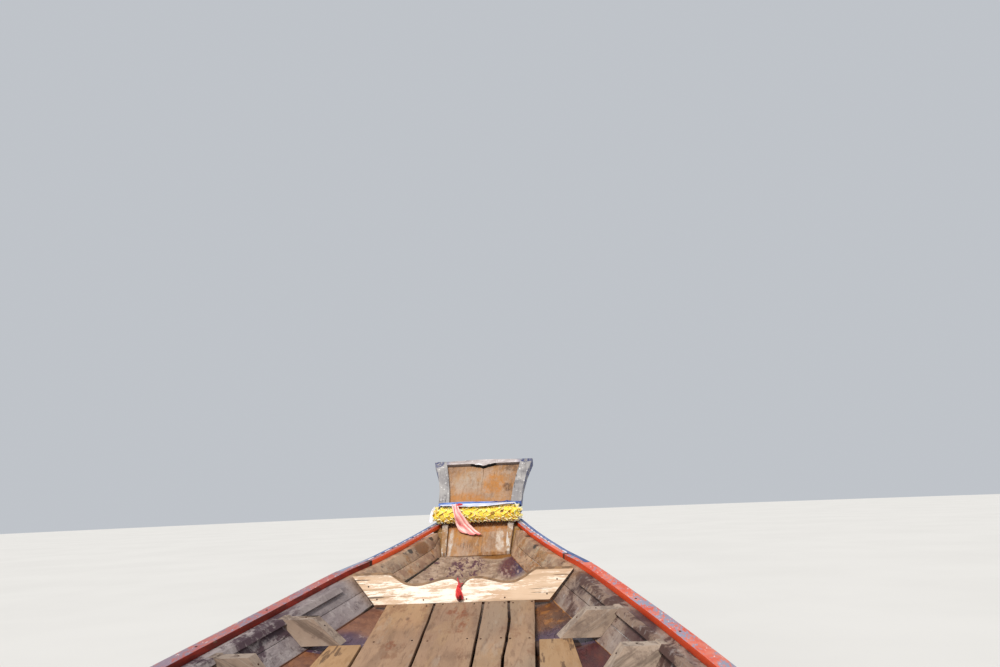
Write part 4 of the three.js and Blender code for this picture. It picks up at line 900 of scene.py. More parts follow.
def wash_wood(name):
    """Pale wood, limewashed in the middle, with a slit, dark ends and a worn top edge."""
    f = Finish(name, 0.6)
    grain = wood(f, 0xd2b598, 0xc29d7d, 0x96744f, 0.9, stretch=ACROSS_BOAT, cracks=0.8, tone=4)
    lime = f.noise(f.stretch((0.18, 1, 1)), 40, 8, 0.78, 0.25)
    across = f.x
    middle = f.span(f.absolute(f.plus(across, 0.09)), 0.34, 0.05)
    cover = f.plus(lime, f.plus(f.times(middle, 0.085), f.times(f.span(across, 0.05, 0.25), -0.07)))
    f.lay(f.span(cover, 0.50, 0.60), 0xfff3e4, 0.9)
    f.lay(f.spots(0.54, 0.60, 44, 6, 0.7, along=(0.12, 1, 1)), 0xfbeede, 0.6)
    f.lay(f.spots(0.56, 0.70, 90, 4, along=grain), 0xa58159, 0.5)
    f.lay(f.spots(0.56, 0.68, 12, 5, 0.65, along=(0.3, 1, 1)), 0xa88058, 0.55)
    slit = f.absolute(f.plus(f.z, f.plus(-0.5165, f.times(f.noise(f.at, 30, 2), 0.006))))
    slit = f.times(f.span(slit, 0.0022, 0.0010), f.span(across, -0.365, -0.385))
    f.lay(slit, 0x2a1a10, 0.95)
    foot = f.near(on_washboard(-0.345, 0.03), (0.045, 0.01, 0.004), 0.3, 30)
    f.lay(foot, 0x3a2415, 0.8)
    end = f.near(on_washboard(0.40, 0.098), (0.045, 0.01, 0.0025), 0.3, 30)
    f.lay(end, 0x5a3f28, 0.7)
    top = f.span(f.plus(f.value("edge"), f.times(f.noise(f.at, 40, 4), 0.25)), 0.18, 0.32)
    f.lay(top, f.mix(f.spots(0.4, 0.6, 30, 5), 0x8d6c4c, 0x6b5038), 0.95)
    ahead = f.span(f.face_y, 0.2, 0.5)
    f.lay(ahead, 0xa38a6a, 0.8)
    f.rough = f.span(lime, 0.4, 0.7, 0.5, 0.75)
    return f.done(0.0018)


def varnished(name):
    """Varnish worn through on the seats."""
    f = Finish(name, 0.42)
    wood(f, 0xb27a45, 0x9a6335, 0x5f3819, 0.8, stretch=ACROSS_BOAT, tone=3)
    worn = f.noise(f.stretch((0.4, 1, 1)), 6, 5, 0.6)
    bare = f.times(f.span(worn, 0.52, 0.62), f.span(f.face_z, 0.5, 0.9))
    f.lay(bare, 0xb59d80, 0.8)
    f.lay(f.spots(0.64, 0.7, 30, 4), 0x4a3120, 0.6)
    f.rough = f.span(bare, 0.0, 1.0, 0.36, 0.75)
    return f.done(0.002)


def plain_wood(name, light=0x9c8468, dark=0x7f6850, crack=0x4b3727):
    f = Finish(name, 0.72)
    wood(f, light, dark, crack, 0.9, stretch=ACROSS_BOAT, tone=3)
    f.lay(f.spots(0.56, 0.68, 9, 5), crack, 0.6)
    return f.done(0.003)


def metal(name, base, tint, rust, roughness=0.45, metallic=0.7, amount=0.5):
    """Painted or bare metal with scratches, grime and rust in patches."""
    f = Finish(name, roughness, metallic, 0.5)
    f.colour = f.mix(f.spots(0.35, 0.65, 9, 4), base, tint)
    spots = f.noise(f.at, 26, 6, 0.7)
    f.lay(f.span(spots, 0.70 - 0.18 * amount, 0.76 - 0.18 * amount), rust, 0.9)
    f.lay(f.spots(0.62, 0.7, 70, 3), 0x2b241f, 0.35)
    f.rough = f.span(f.noise(f.at, 40, 4), 0.3, 0.7, roughness - 0.12, roughness + 0.25)
    f.raise_by(spots, 0.6)
    f.raise_by(f.noise(f.at, 150, 2), 0.15)
    return f.done(0.0012)


def rubber(name):
    f = Finish(name, 0.75, 0.0, 0.3)
    f.colour = f.mix(f.spots(0.4, 0.65, 30, 4), 0x1d1d1e, 0x35332f)
    f.lay(f.spots(0.6, 0.7, 120, 2), 0x4a4640, 0.5)
    f.raise_by(f.noise(f.at, 200, 2), 0.4)
    return f.done(0.0006)


def rope(name):
    f = Finish(name, 0.85)
    f.colour = f.mix(f.spots(0.4, 0.6, 90, 4), 0xcfc6b0, 0x9a8f78)
    f.raise_by(f.noise(f.at, 400, 2), 0.6)
    return f.done(0.0006)


def canvas(name, shade=1.0):
    """Coated canvas: woven relief, sun fading on the crown, dust and water marks."""
    f = Finish(name, 0.7, 0.0, 0.25)
    fade = f.span(f.plus(f.face_z, f.times(f.noise(f.at, 2.2, 4), 0.5)), 0.9, 1.4)
    f.colour = f.mix(f.times(fade, shade), 0x2a5f8c, 0x6f98b3)
    f.lay(f.spots(0.5, 0.68, 3.2, 5, 0.6, along=(1, 0.3, 1)), 0x8fa5ad, 0.4)
    f.lay(f.spots(0.6, 0.7, 8, 6, 0.7), 0x39556b, 0.5)
    weave = f.times(f.wave(f.at, 190), f.wave(f.at, 190, "Y"))
    f.lay(weave, 0x9db6c6, 0.18)
    f.raise_by(weave, 0.5)
    f.raise_by(f.noise(f.at, 6, 3), 2.0)
    f.shader.inputs["Sheen Weight"].default_value = 0.15
    return f.done(0.0012)


# Brown bruises of the flowers: across, up the board, radius
PETAL_BRUISES = ((0.080, 0.226, 0.016), (0.129, 0.240, 0.011), (-0.03, 0.232, 0.009),
                 (-0.182, 0.226, 0.012), (0.168, 0.232, 0.009), (0.105, 0.218, 0.010))


def petals(name):
    """Dark orange at the heart of each flower as painted shade, to yellow, and cream at its rim as painted
    highlight.
    """
    f = Finish(name, 0.62, 0.0, 0.3)
    rim = f.value("rim")
    # Darker orange deep in each flower is painted shade; light yellow and cream towards the rims are painted
    # highlight.
    f.colour = f.mix(f.span(rim, 0.10, 0.45), 0xb8620f, 0xfcc62a)
    f.lay(f.span(rim, 0.40, 0.75), 0xffe765)
    f.lay(f.times(f.span(rim, 0.62, 0.92), f.spots(0.34, 0.50, 45, 3)), 0xfffcdc, 0.95)
    f.lay(f.spots(0.66, 0.7, 30, 4), 0xc9650f, 0.75)
    for x, s, size in PETAL_BRUISES:
        f.lay(f.near(on_prow(x, s, 0.088), size, 0.9, 70), 0x7a2c0c, 0.85)
    f.shader.inputs["Subsurface Weight"].default_value = 0.4
    f.shader.inputs["Subsurface Radius"].default_value = (0.012, 0.008, 0.003)
    f.raise_by(f.noise(f.at, 300, 3), 0.5)
    return f.done(0.0008)


def satin(name, light, middle, dark, gloss=0.4):
    """Thin shiny cloth with creases along it, darker in their hollows and lighter on their crests as painted
    shade and highlight.
    """
    f = Finish(name, gloss, 0.0, 0.5)
    light_and_shade = f.value("light_and_shade")
    # Dark in the creases' hollows and light on their crests: painted shade and highlight.
    f.colour = f.mix(f.span(light_and_shade, 0.25, 0.6), dark, middle)
    f.lay(f.span(light_and_shade, 0.55, 0.9), light)
    f.lay(f.spots(0.58, 0.7, 45, 4), dark, 0.35)
    weave = f.times(f.wave(f.at, 700), f.wave(f.at, 700, "Z"))
    f.raise_by(f.noise(f.at, 90, 3), 0.6)
    f.raise_by(weave, 0.1)
    f.shader.inputs["Sheen Weight"].default_value = 0.3
    return f.done(0.001)


def tar(name, stained=False):
    """Black tar; where stained, brown along all of the joint but the port bow."""
    f = Finish(name, 0.55 if stained else 0.45, 0.0, 0.4 if stained else 0.5)
    f.colour = f.mix(f.spots(0.4, 0.6, 60, 4), 0x17120f, 0x3a2c20)
    if stained:
        f.lay(f.span(f.y, 3.52, 3.46), 0x5f3824, 0.85)
        f.lay(f.span(f.x, 0.0, 0.05), f.mix(f.spots(0.4, 0.6, 25, 5), 0xb07f52, 0x7d5232))
    f.raise_by(f.noise(f.at, 120, 4), 0.8)
    return f.done(0.002)


def radiator_core(name):
    """Thin fins with dust between them: stripes light on the fins and dark between them as painted shade,
    with dark bands across.
    """
    f = Finish(name, 0.55, 0.6, 0.5)
    fins = f.wave(f.at, 130)
    rows = f.wave(f.at, 22, "Z")
    # Dark between the fins: painted shade in the gaps of the core.
    f.colour = f.mix(fins, 0x15161a, 0x55585c)
    f.lay(f.span(rows, 0.8, 1.0), 0x0c0c0e, 0.7)
    f.lay(f.spots(0.5, 0.66, 12, 5), 0x6b5f4c, 0.45)
    f.raise_by(fins, 1.0)
    return f.done(0.002)


LOOK = {
    "bottom": planking("bottom_planking", "bottom"), "bilge": planking("bilge_planking", "bilge"),
    "topside": planking("topside_planking", "topside"), "floor": floor_wood("floor_boards"),
    "side_floor": floor_wood("side_floor_boards", 0.25), "frame": frame_wood("frames"),
    "rail": rail_paint("rail_paint"), "strip": strip_paint("strip_paint"), "prow": prow_wood("prow_board"),
    "post": post_wood("post_wood"), "wash": wash_wood("washboard_wood"), "bench": varnished("bench_varnish"),
    "beam": plain_wood("beam_wood"), "tube": metal("dull_tube", 0xb4b8ba, 0x9da2a5, 0x8a6a4c, 0.4, 0.85, 0.1),
    "steel": metal("painted_steel", 0x5d6468, 0x4b5054, 0x7a4322, 0.5, 0.5, 0.55),
    "enamel": metal("engine_enamel", 0x3d6b50, 0x2f523f, 0x4b3c2c, 0.42, 0.2, 0.35),
    "cover": metal("cast_cover", 0x8b8e8c, 0x6f7271, 0x5a4a3a, 0.5, 0.7, 0.3),
    "pipe": metal("hot_pipe", 0x5f4e46, 0x4a3a33, 0x6e4029, 0.75, 0.4, 0.75),
    "brass": metal("propeller_bronze", 0xc09a50, 0xa37f3c, 0x4f6a55, 0.3, 0.95, 0.2),
    "chrome": metal("bright_metal", 0xc8cacb, 0xb5b8ba, 0x7a6a58, 0.25, 0.95, 0.0),
    "rust": metal("rusty_nail", 0x4a2c1c, 0x33211a, 0x6b3a1e, 0.8, 0.3, 0.8),
    "rubber": rubber("black_rubber"), "canvas": canvas("roof_canvas"), "petals": petals("flower_petals"),
    "blue": satin("blue_ribbon", 0x9db8ee, 0x5f86d2, 0x16357c),
    "white": satin("white_ribbon", 0xfffdfd, 0xebe9f4, 0xb6bde0, 0.5),
    "pink": satin("pink_cloth", 0xffd8d0, 0xf59a96, 0xbe4450, 0.5),
    "red": satin("red_threads", 0xf5403a, 0xdb222b, 0x2a0d12, 0.6), "tar": tar("seam_tar"),
    "core": radiator_core("radiator_core"), "cap": cap_wood("cap_wood"), "cheek": cheek_wood("cheek_wood"),
    "timber": plain_wood("floor_timber_wood", 0x5a4338, 0x432f2a, 0x241a18),
    "joint": tar("joint_filler", stained=True), "line": line_paint("white_line"),
    "hem": canvas("roof_hems", 0.2), "rope": rope("lacing_rope"),
    "tank": metal("radiator_paint", 0x2e3033, 0x212326, 0x6b4a30, 0.5, 0.3, 0.35),
}


# Look, width of the softened edges in metres, and frame nodes; {} stands for both sides
DRESS = (
    ("bottom", 0.003, "bottom_planks"),
    ("bilge", 0.004, "keel"),
    ("bilge", 0.002, "bilge_strake_{}"),
    ("topside", 0.004, "transom"),
    ("topside", 0.002, "topside_strake_{}"),
    ("timber", 0.003, "floor_timbers"),
    ("frame", 0.004, "side_frames_{}"),
    ("rail", 0.005, "gunwale_{}"),
    ("rail", 0.004, "bow_rail_{}"),
    ("strip", 0.004, "bow_strip_{}"),
    ("prow", 0.003, "prow_board"),
    ("post", 0.004, "prow_post_{}"),
    ("floor", 0.003, "floor_plank_1_aft floor_plank_2_aft floor_plank_3_aft floor_plank_4_aft"),
    ("side_floor", 0.003, "side_floorboard_{} side_floorboard_aft_{}"),
    ("bench", 0.005, "bench_front bench_middle bench_rear stern_deck"),
    ("tube", 0.001, "canopy_hoops"),
    ("tube", 0.003, "canopy_side_{}"),
    ("tube", 0.002, "tiller"),
    ("beam", 0.008, "engine_beam"),
    ("steel", 0.003, "engine_stand yoke"),
    ("steel", 0.004, "engine_bed"),
    ("steel", 0.002, "shaft_tube"),
    ("enamel", 0.008, "engine_block"),
    ("enamel", 0.004, "bell_housing"),
    ("enamel", 0.006, "air_filter"),
    ("cover", 0.012, "rocker_cover"),
    ("pipe", 0.003, "exhaust"),
)
for look, edge, names in DRESS:
    for name in sorted({name.format(side) for name in names.split() for side in ("right", "left")}):
        dress(name, look, edge)


# Prow: cap, garland, ribbons and sash
CAP_HALF = 0.2255
CAP_LOW = 0.864
CAP_TOP = 0.8995
CAP_FACES = (0.0004, 0.0204)
PEAK_HALF = 0.066
PEAK_DROP = 0.026
SHADE_HALF = 0.088


def prow_cap():
    """The carved crosspiece with its drop in the middle, and a black strip on the board under it as painted
    shadow.
    """
    low, high = [], []
    for t in even(-1, 1, 70):
        x = t * CAP_HALF
        reach = max(0.0, 1 - abs(x) / PEAK_HALF)
        dip = PEAK_DROP * reach ** 1.25 + 0.003 * min(1.0, reach * 6)
        step = 0.004 * round(2 * wobble(x * 55, 1.0)) * min(1.0, reach * 3) + 0.0015 * wobble(x * 90, 2.0)
        low.append((x, CAP_LOW - dip + step))
        high.append((x, CAP_TOP + 0.012 * (1 - abs(t)) + 0.0015 * wobble(x * 30, 5.0)))
    outline = low + high[::-1]
    work = Build()
    for n in CAP_FACES:
        work.points += [on_prow(x, s, n) for x, s in outline]
    size = len(outline)
    work.faces += [tuple(range(size)), tuple(reversed(range(size, 2 * size)))]
    work.faces += [(i, i + size, (i + 1) % size + size, (i + 1) % size) for i in range(size)]
    cap = work.finish("prow_cap_carved", "hull", "post", "cap", replaces=("prow_cap",))
    bevelled(cap, 0.0022)
    # A black strip on the board under the cap's middle: painted shadow.
    shade = Build()
    shade.grid([[on_prow(x, s + 0.004, 0.0012), on_prow(x, s - 0.0045 * (1 - abs(x) / 0.09), 0.0012)]
                for x, s in low if abs(x) < SHADE_HALF])
    shade.finish("cap_painted_shadow", "hull", "post", "tar")


def cheeks():
    """Thin boards that close the bow between the posts and the planks' ends."""
    work = Build()
    for side in (1, -1):
        rows = []
        for s in even(-0.012, 0.292, 12):
            inner = side * (along(PROW_OUTER, s) - 0.004)
            wide = lerp(0.030, 0.050, ease(s / 0.25)) + 0.0015 * wobble(s * 30, side)
            outer = side * (along(PROW_OUTER, s) + wide)
            rows.append([on_prow(inner, s, -0.022), on_prow(outer, s, -0.022), on_prow(outer, s, -0.006),
                         on_prow(inner, s, -0.006)][::side])
        work.grid(rows, closed=True, ends=True)
    boards = work.finish("bow_cheeks", "hull", "plank", "cheek")
    bevelled(boards, 0.002)


def bow_lines():
    """The thin white line of paint between the red and the blue strips at the bow."""
    work = Build()
    for side in ("right", "left"):
        path = []
        for y in even(3.80, 4.46, 59):
            cut = section(f"bow_rail_{side}", y)
            wide = np.abs(cut[:, 0])
            edge = cut[np.lexsort((cut[:, 2], np.round(wide, 4)))[-1]]
            path.append(Vector(edge) + Vector((0, 0, 0.0006)))
        fat = [0.0034 if wobble(i * 0.35, 2) > -0.12 else 0.0012 for i in range(len(path))]
        work.tube(path, fat, 6)
    work.finish("bow_lines", "hull", "strip", "line")


def garland():
    """Ruffled flower heads threaded close together along the roll."""
    draw = random.Random(7)
    heads, petals = 25, 72
    work = Build()
    for i in range(heads):
        share = i / (heads - 1)
        x = lerp(-0.228, 0.222, share)
        taper = min(1.0, 0.66 + 8 * min(share, 1 - share))
        reach = ROLL_RADIUS * taper * (1.02 + 0.10 * wobble(x * 16, 0.3))
        lean = (draw.uniform(-0.12, 0.12), draw.uniform(-0.12, 0.12))
        turn = draw.uniform(0, 6)
        lobes = draw.choice((5, 6, 7))
        rows, marks = [], []
        for part in (0.10, 0.45, 0.72, 0.9, 1.0):
            row = []
            for t in angles(petals):
                frill = math.sin(lobes * t + turn)
                flutter = math.sin(2 * lobes * t + 1.7 * turn)
                r = reach * part * (1 + 0.05 * flutter * part ** 3 + draw.uniform(-0.02, 0.02))
                across = x + r * (lean[0] * math.cos(t) + lean[1] * math.sin(t))
                across += part ** 2 * (0.0110 * frill + 0.0040 * flutter) + draw.uniform(-0.0005, 0.0005)
                out = max(ROLL_OUT + r * math.cos(t), POST_PROUD + 0.0015)
                row.append(on_prow(across, ROLL_S + r * math.sin(t), out))
            rows.append(row)
            # Each ring's share of the radius, which the petals' finish turns into painted shade and
            # highlight.
            marks.append([part] * petals)
        work.grid(rows, closed=True, marks=marks)
    centre = [on_prow(x, ROLL_S, ROLL_OUT) for x in even(-0.225, 0.219, 20)]
    start = len(work.points)
    work.tube(centre, [0.035 * min(1.0, 0.55 + 6 * min(i / 20, 1 - i / 20)) for i in range(21)], 20)
    work.marks.update({i: 0.5 + 0.25 * draw.random() for i in range(start, len(work.points))})
    work.finish("garland_flowers", "hull", "flower", "petals", replaces=("garland",), mark="rim")


def wrapped(front, back_s, back_width, columns=72, rows=9):
    """Rows of points of a band across the front of the posts and round behind them.

    front gives the band's (s, n) at a share across and a share down.
    """
    gap = 0.003
    ring = []
    down = even(0, 1, rows - 1)
    for t in even(0, 1, columns):
        half = along(PROW_OUTER, front(t, 0.5)[0]) + gap
        ring.append([(lerp(-half, half, t), *front(t, q)) for q in down])
    half = along(PROW_OUTER, back_s) + gap + 0.003
    behind = -PROW_THICK - gap
    turn = [(half, 0.012), (half, -0.012), (half, -0.028), (half - 0.008, behind), (half * 0.5, behind),
            (0, behind), (-half * 0.5, behind), (0.008 - half, behind), (-half, -0.028), (-half, -0.012),
            (-half, 0.012)]
    for x, n in turn:
        ring.append([(x, back_s + back_width * (0.5 - q), n) for q in down])
    return ring


def crease(ring, depth, seed):
    """Points with creases along the band, and the height of each crease as 0 to 1 for the cloth's painted
    shade and highlight.
    """
    rows, marks = [], []
    for column in ring:
        row, mark = [], []
        for q, (x, s, n) in enumerate(column):
            wave = math.sin(q * 2.1 + 1.6 * wobble(x * 9, seed)) * 0.5 + 0.5
            rise = depth * wave + 0.0012 * wobble(x * 40, q * 0.7, seed)
            out = rise if n > 0 else -rise
            outward = rise if x > 0.2 else -rise if x < -0.2 else 0
            row.append(on_prow(x + outward, s, n + out))
            # Crease height as painted light and shade.
            mark.append(0.25 + 0.55 * wave + 0.35 * wobble(x * 22, q * 0.5, seed))
        rows.append(row)
        marks.append(mark)
    return rows, marks


def blue_ribbon():
    """A flat band round the posts with one end twisted and wound along it."""
    def front(t, q):
        top = 0.434 + 0.004 * math.sin(5 * t)
        low = lerp(0.400, 0.398, t) + 0.003 * math.sin(7 * t + 1)
        pinch = ease((t - 0.66) / 0.08) * 0.32
        s = lerp(top, low, lerp(q, 0.5, pinch))
        return s, POST_PROUD + 0.0035 + 0.002 * math.sin(math.pi * q)

    work = Build()
    rows, marks = crease(wrapped(front, 0.416, 0.034), 0.0035, 1)
    work.grid(rows + rows[:1], marks=marks + marks[:1])
    # the twisted end, wound round the right-hand part of the band
    rows, marks = [], []
    for t in even(0, 1, 90):
        x = lerp(0.058, 0.228, t)
        twist = 7.5 * t + 0.6 * wobble(t * 9, 4)
        fat = 0.0095 * (0.55 + 0.45 * math.sin(math.pi * min(1, t * 1.1)) + 0.18 * wobble(t * 12, 2))
        centre = (0.414 + 0.004 * math.sin(4 * t), POST_PROUD + 0.009)
        row, mark = [], []
        for a in angles(12):
            u, v = fat * math.cos(a), 0.42 * fat * math.sin(a)
            ds = u * math.cos(twist) - v * math.sin(twist)
            dn = u * math.sin(twist) + v * math.cos(twist)
            row.append(on_prow(x, centre[0] + ds, max(POST_PROUD + 0.001, centre[1] + dn)))
            # Lighter where the twisted band turns one way: painted light and shade.
            mark.append(0.02 + 0.5 * max(0.0, math.sin(twist * 2 + a)) ** 2)
        rows.append(row)
        marks.append(mark)
    work.grid(rows, closed=True, ends=True, marks=marks)
    ribbon = work.finish("ribbon_blue", "hull", "ribbon", "blue", replaces=("ribbon",), mark="light_and_shade")


def white_ribbon():
    """A gathered band from under the blue one down over the flowers, with a loose end to port."""
    reach = ROLL_RADIUS + 0.0095

    def front(t, q):
        top = (0.404, POST_PROUD + 0.012)
        low = lerp(10, -13, math.sin(math.pi * t) ** 0.8)
        if q < 0.4:
            lift = math.radians(58)
            near = (ROLL_S + reach * math.sin(lift), ROLL_OUT + reach * math.cos(lift))
            return lerp(top[0], near[0], q / 0.4), lerp(top[1], near[1], q / 0.4)
        lift = math.radians(lerp(58, low, (q - 0.4) / 0.6))
        return ROLL_S + reach * math.sin(lift), ROLL_OUT + reach * math.cos(lift)

    work = Build()
    rows, marks = crease(wrapped(front, 0.372, 0.042, rows=11), 0.003, 9)
    work.grid(rows + rows[:1], marks=marks + marks[:1])
    rows, marks = [], []
    across = (-1, -0.6, -0.2, 0.2, 0.6, 1)
    for t in even(0, 1, 14):
        s = lerp(0.300, 0.212, t)
        n = lerp(0.088, 0.060, ease(t)) + 0.006 * math.sin(4 * t)
        x = lerp(-0.226, -0.246, ease(t)) - 0.004 * math.sin(5 * t)
        wide = lerp(0.004, 0.008, t)
        rows.append([on_prow(x + wide * v, s - 0.006 * v * t, n + 0.004 * math.cos(3 * v + 4 * t))
                     for v in across])
        # Lighter and darker with the loose end's ripple: painted light and shade.
        marks.append([0.9 - 0.5 * abs(math.sin(3 * v + 4 * t)) for v in across])
    work.grid(rows, marks=marks)
    ribbon = work.finish("ribbon_white", "hull", "ribbon", "white", mark="light_and_shade")


# The scarf's left and right edges: first by angle round the flowers, then as places on the prow
SASH_ROUND = ((60, -0.134, -0.106), (30, -0.134, -0.104), (5, -0.130, -0.101),
              (-20, -0.126, -0.094), (-45, -0.121, -0.080), (-72, -0.117, -0.062))
SASH_HANGING = [
    ((-0.110, 0.203, 0.036), (-0.038, 0.200, 0.040)),
    ((-0.101, 0.192, 0.018), (-0.012, 0.184, 0.020)),
    ((-0.090, 0.182, 0.010), (0.010, 0.166, 0.012)),
    ((-0.070, 0.172, 0.008), (0.030, 0.148, 0.010)),
]


def sash_edges():
    """Pairs of edge points from the knot round the flowers and down the board."""
    reach = ROLL_RADIUS + 0.009
    edges = []
    for turn, left, right in SASH_ROUND:
        a = math.radians(turn)
        at = (ROLL_S + reach * math.sin(a), ROLL_OUT + reach * math.cos(a))
        edges.append(((left, *at), (right, *at)))
    return edges + SASH_HANGING


def sash_knot():
    """The scarf's knot above the flowers: five loops wound over each other."""
    work = Build()
    draw = random.Random(3)
    for k in range(5):
        a = k * 1.3
        centre = Vector((-0.093 + 0.007 * math.cos(a), ROLL_S + 0.008 + 0.004 * math.sin(a),
                         ROLL_OUT + 0.049))
        loop = []
        for i in range(13):
            t = 2 * math.pi * i / 12 * 0.9
            loop.append(on_prow(centre.x + 0.008 * math.cos(t + a), centre.y + 0.005 * math.sin(t),
                                centre.z + 0.005 * math.sin(t + a) + draw.uniform(-0.001, 0.001)))
        work.tube(loop, 0.0042, 8)
    return work.finish("sash_knot", "hull", "pink", "red", mark="light_and_shade")


def sash():
    """A gathered scarf knotted above the garland, laid over it and down the board."""
    edges = sash_edges()
    rows, marks = [], []
    for t in even(0, 1, 60):
        at = t * (len(edges) - 1)
        k = min(int(at), len(edges) - 2)
        left, right = (Vector(edges[k][side]).lerp(Vector(edges[k + 1][side]), at - k) for side in (0, 1))
        row, mark = [], []
        for v in even(0, 1, 30):
            drift = 0.30 * math.sin(3 * t) + 0.8 * wobble(v * 2.3, t * 2.2, 1)
            wave = math.sin(2 * math.pi * (2.2 * v ** 1.2 + drift))
            wave = 0.55 * wave + 0.8 * wobble(v * 7, t * 4, 2) + 0.3 * wobble(v * 16, t * 7, 5)
            x, s, n = left.lerp(right, v)
            depth = lerp(0.003, 0.0075, t)
            hang = -0.010 * math.sin(math.pi * v) * ease((t - 0.8) / 0.2)
            proud = max(n + depth * (wave + 0.6), 0.003)
            row.append(on_prow(x, s + hang + 0.003 * wobble(v * 6, t * 9), proud))
            # Crease height as painted light and shade, darker towards the right of the hanging end.
            mark.append(0.62 + 0.42 * wave - 0.3 * ease((t - 0.85) / 0.15) * ease((v - 0.3) / 0.5))
        rows.append(row)
        marks.append(mark)
    work = Build()
    work.grid(rows, marks=marks)
    scarf = work.finish("sash_cloth", "hull", "pink", "pink", replaces=("pink_sash",), mark="light_and_shade")
    thicken(scarf, 0.0015)
    tie = sash_knot()


# Washboard and its tassel
def bezier(a, b, c, d, count):
    """Points along a curve from a to d, without a."""
    line = []
    for t in even(0, 1, count)[1:]:
        shares = ((1 - t) ** 3, 3 * t * (1 - t) ** 2, 3 * t * t * (1 - t), t ** 3)
        line.append(tuple(sum(p[k] * share for p, share in zip((a, b, c, d), shares)) for k in (0, 1)))
    return line


WASH_NAILS = ((-0.335, 0.022), (-0.375, 0.075), (0.335, 0.022), (0.378, 0.08), (-0.15, 0.014),
              (0.02, 0.012), (0.17, 0.013))


def washboard():
    """The leaning board with its carved top edge and the notch in the middle."""
    top = WASH_HEIGHT
    half = [(0.298, top)]
    for knots in (((0.262, top - 0.014), (0.240, top - 0.050), (0.190, top - 0.052)),
                  ((0.130, top - 0.052), (0.110, top - 0.026), (0.042, top - 0.028)),
                  ((0.024, top - 0.030), (0.010, top - 0.044), (0.0, top - 0.064))):
        half += bezier(half[-1], *knots, 22)
    line = [(x, 0.0) for x in even(-0.344, 0.344, 30)]
    line += [(x, top) for x in even(0.446, 0.298, 8)[:-1]] + half
    line += [(-x, h) for x, h in reversed(half[:-1])]
    line += [(-x, top) for x in even(0.298, 0.446, 8)[1:]]
    worn = []
    for x, h in line:
        inner = 0.0 if h < 0.001 or abs(x) > 0.44 else 1.0
        worn.append((x, h + inner * (0.0016 * wobble(x * 22, h * 9) - 0.0012 * max(0.0, wobble(x * 60, 3)))))
    size = len(worn)
    work = Build()
    work.points += [on_washboard(x, h - 0.0160 * ease(h / 0.06), 0.0) for x, h in worn]
    work.points += [on_washboard(x, h - 0.0010 * ease(h / 0.06), -0.0045 * ease(h / 0.06)) for x, h in worn]
    work.points += [on_washboard(x, h, -WASH_THICK) for x, h in worn]
    for i, (x, h) in enumerate(worn):
        work.marks[i] = 0.0
        work.marks[i + size] = work.marks[i + 2 * size] = ease((h - 0.02) / 0.03)
    work.faces += [tuple(range(size)), tuple(reversed(range(2 * size, 3 * size)))]
    for ring in (0, size):
        work.faces += [(i + ring, i + ring + size, (i + 1) % size + ring + size, (i + 1) % size + ring)
                       for i in range(size)]
    board = work.finish("washboard_shaped", "hull", "washboard", "wash", replaces=("washboard",),
                        mark="edge")
    bevelled(board, 0.0020)
    heads = Build()
    for x, h in WASH_NAILS:
        heads.dome(on_washboard(x, h, 0.0), WASH_BACK, 0.0032, 0.0012)
    heads.finish("washboard_nails", "hull", "steel", "rust")


TASSEL_X = -0.009
TASSEL_OFF = 0.0154
TASSEL_HEAD = ((0.0, 0.001), (0.001, 0.006), (0.006, 0.009), (0.011, 0.0075), (0.014, 0.0045),
               (0.018, 0.006), (0.021, 0.002))
TASSEL_CORDS = (
    ((TASSEL_X, 0.066, TASSEL_OFF), (-0.0125, 0.076, 0.011), (-0.0155, 0.086, 0.007),
     (-0.0178, 0.0965, 0.003), (-0.0182, 0.1005, -0.006), (-0.0178, 0.1005, -0.020)),
    ((TASSEL_X + 0.002, 0.066, TASSEL_OFF - 0.001), (-0.001, 0.070, 0.008), (0.003, 0.077, 0.0),
     (0.003, 0.077, -0.014)),
)


def tassel():
    """Red threads bound at the neck, hanging from a cord through the notch."""
    draw = random.Random(11)
    x0, off = TASSEL_X, TASSEL_OFF
    work = Build()
    for i in range(90):
        a = draw.uniform(0, 2 * math.pi)
        spread = draw.uniform(0.2, 1.0)
        end = draw.uniform(0.001, 0.013)
        path = []
        for t in even(0, 1, 8):
            h = lerp(0.056, end, t)
            r = lerp(0.0040, 0.0162, math.sin(min(1, 1.25 * t) * math.pi / 2)) * spread
            r *= 1 - 0.35 * ease((t - 0.75) / 0.25)
            sway = 0.0012 * wobble(i * 3.1, t * 5)
            lean = lerp(-0.004, 0.005, t)
            clear = max(off + r * math.sin(a), 0.001)
            path.append(on_washboard(x0 + lean + r * math.cos(a) + sway, h, clear))
        start = len(work.points)
        work.tube(path, 0.00085, 4)
        for p in range(start, len(work.points)):
            share = (p - start) / (len(work.points) - start)
            # Painted light and shade: lighter along each thread and darker towards its end, scattered from
            # thread to thread.
            work.marks[p] = 0.80 - 0.78 * ease((share - 0.78) / 0.2) + draw.uniform(-0.2, 0.15)
    work.turned(TASSEL_HEAD, on_washboard(x0, 0.050, off), WASH_UP, 16)
    for h in (0.0545, 0.0575, 0.0605):
        ring = [on_washboard(x0 + 0.0062 * math.cos(t), h, off + 0.0062 * math.sin(t)) for t in angles(16, 1)]
        work.tube(ring, 0.0016, 6)
    work.finish("tassel_threads", "hull", "red", "red", replaces=("tassel",), mark="light_and_shade")
    tie = Build()
    for cord in TASSEL_CORDS:
        tie.tube([on_washboard(*place) for place in cord], 0.0026, 8)
    tie.finish("tassel_cord", "hull", "pink", "red", mark="light_and_shade")


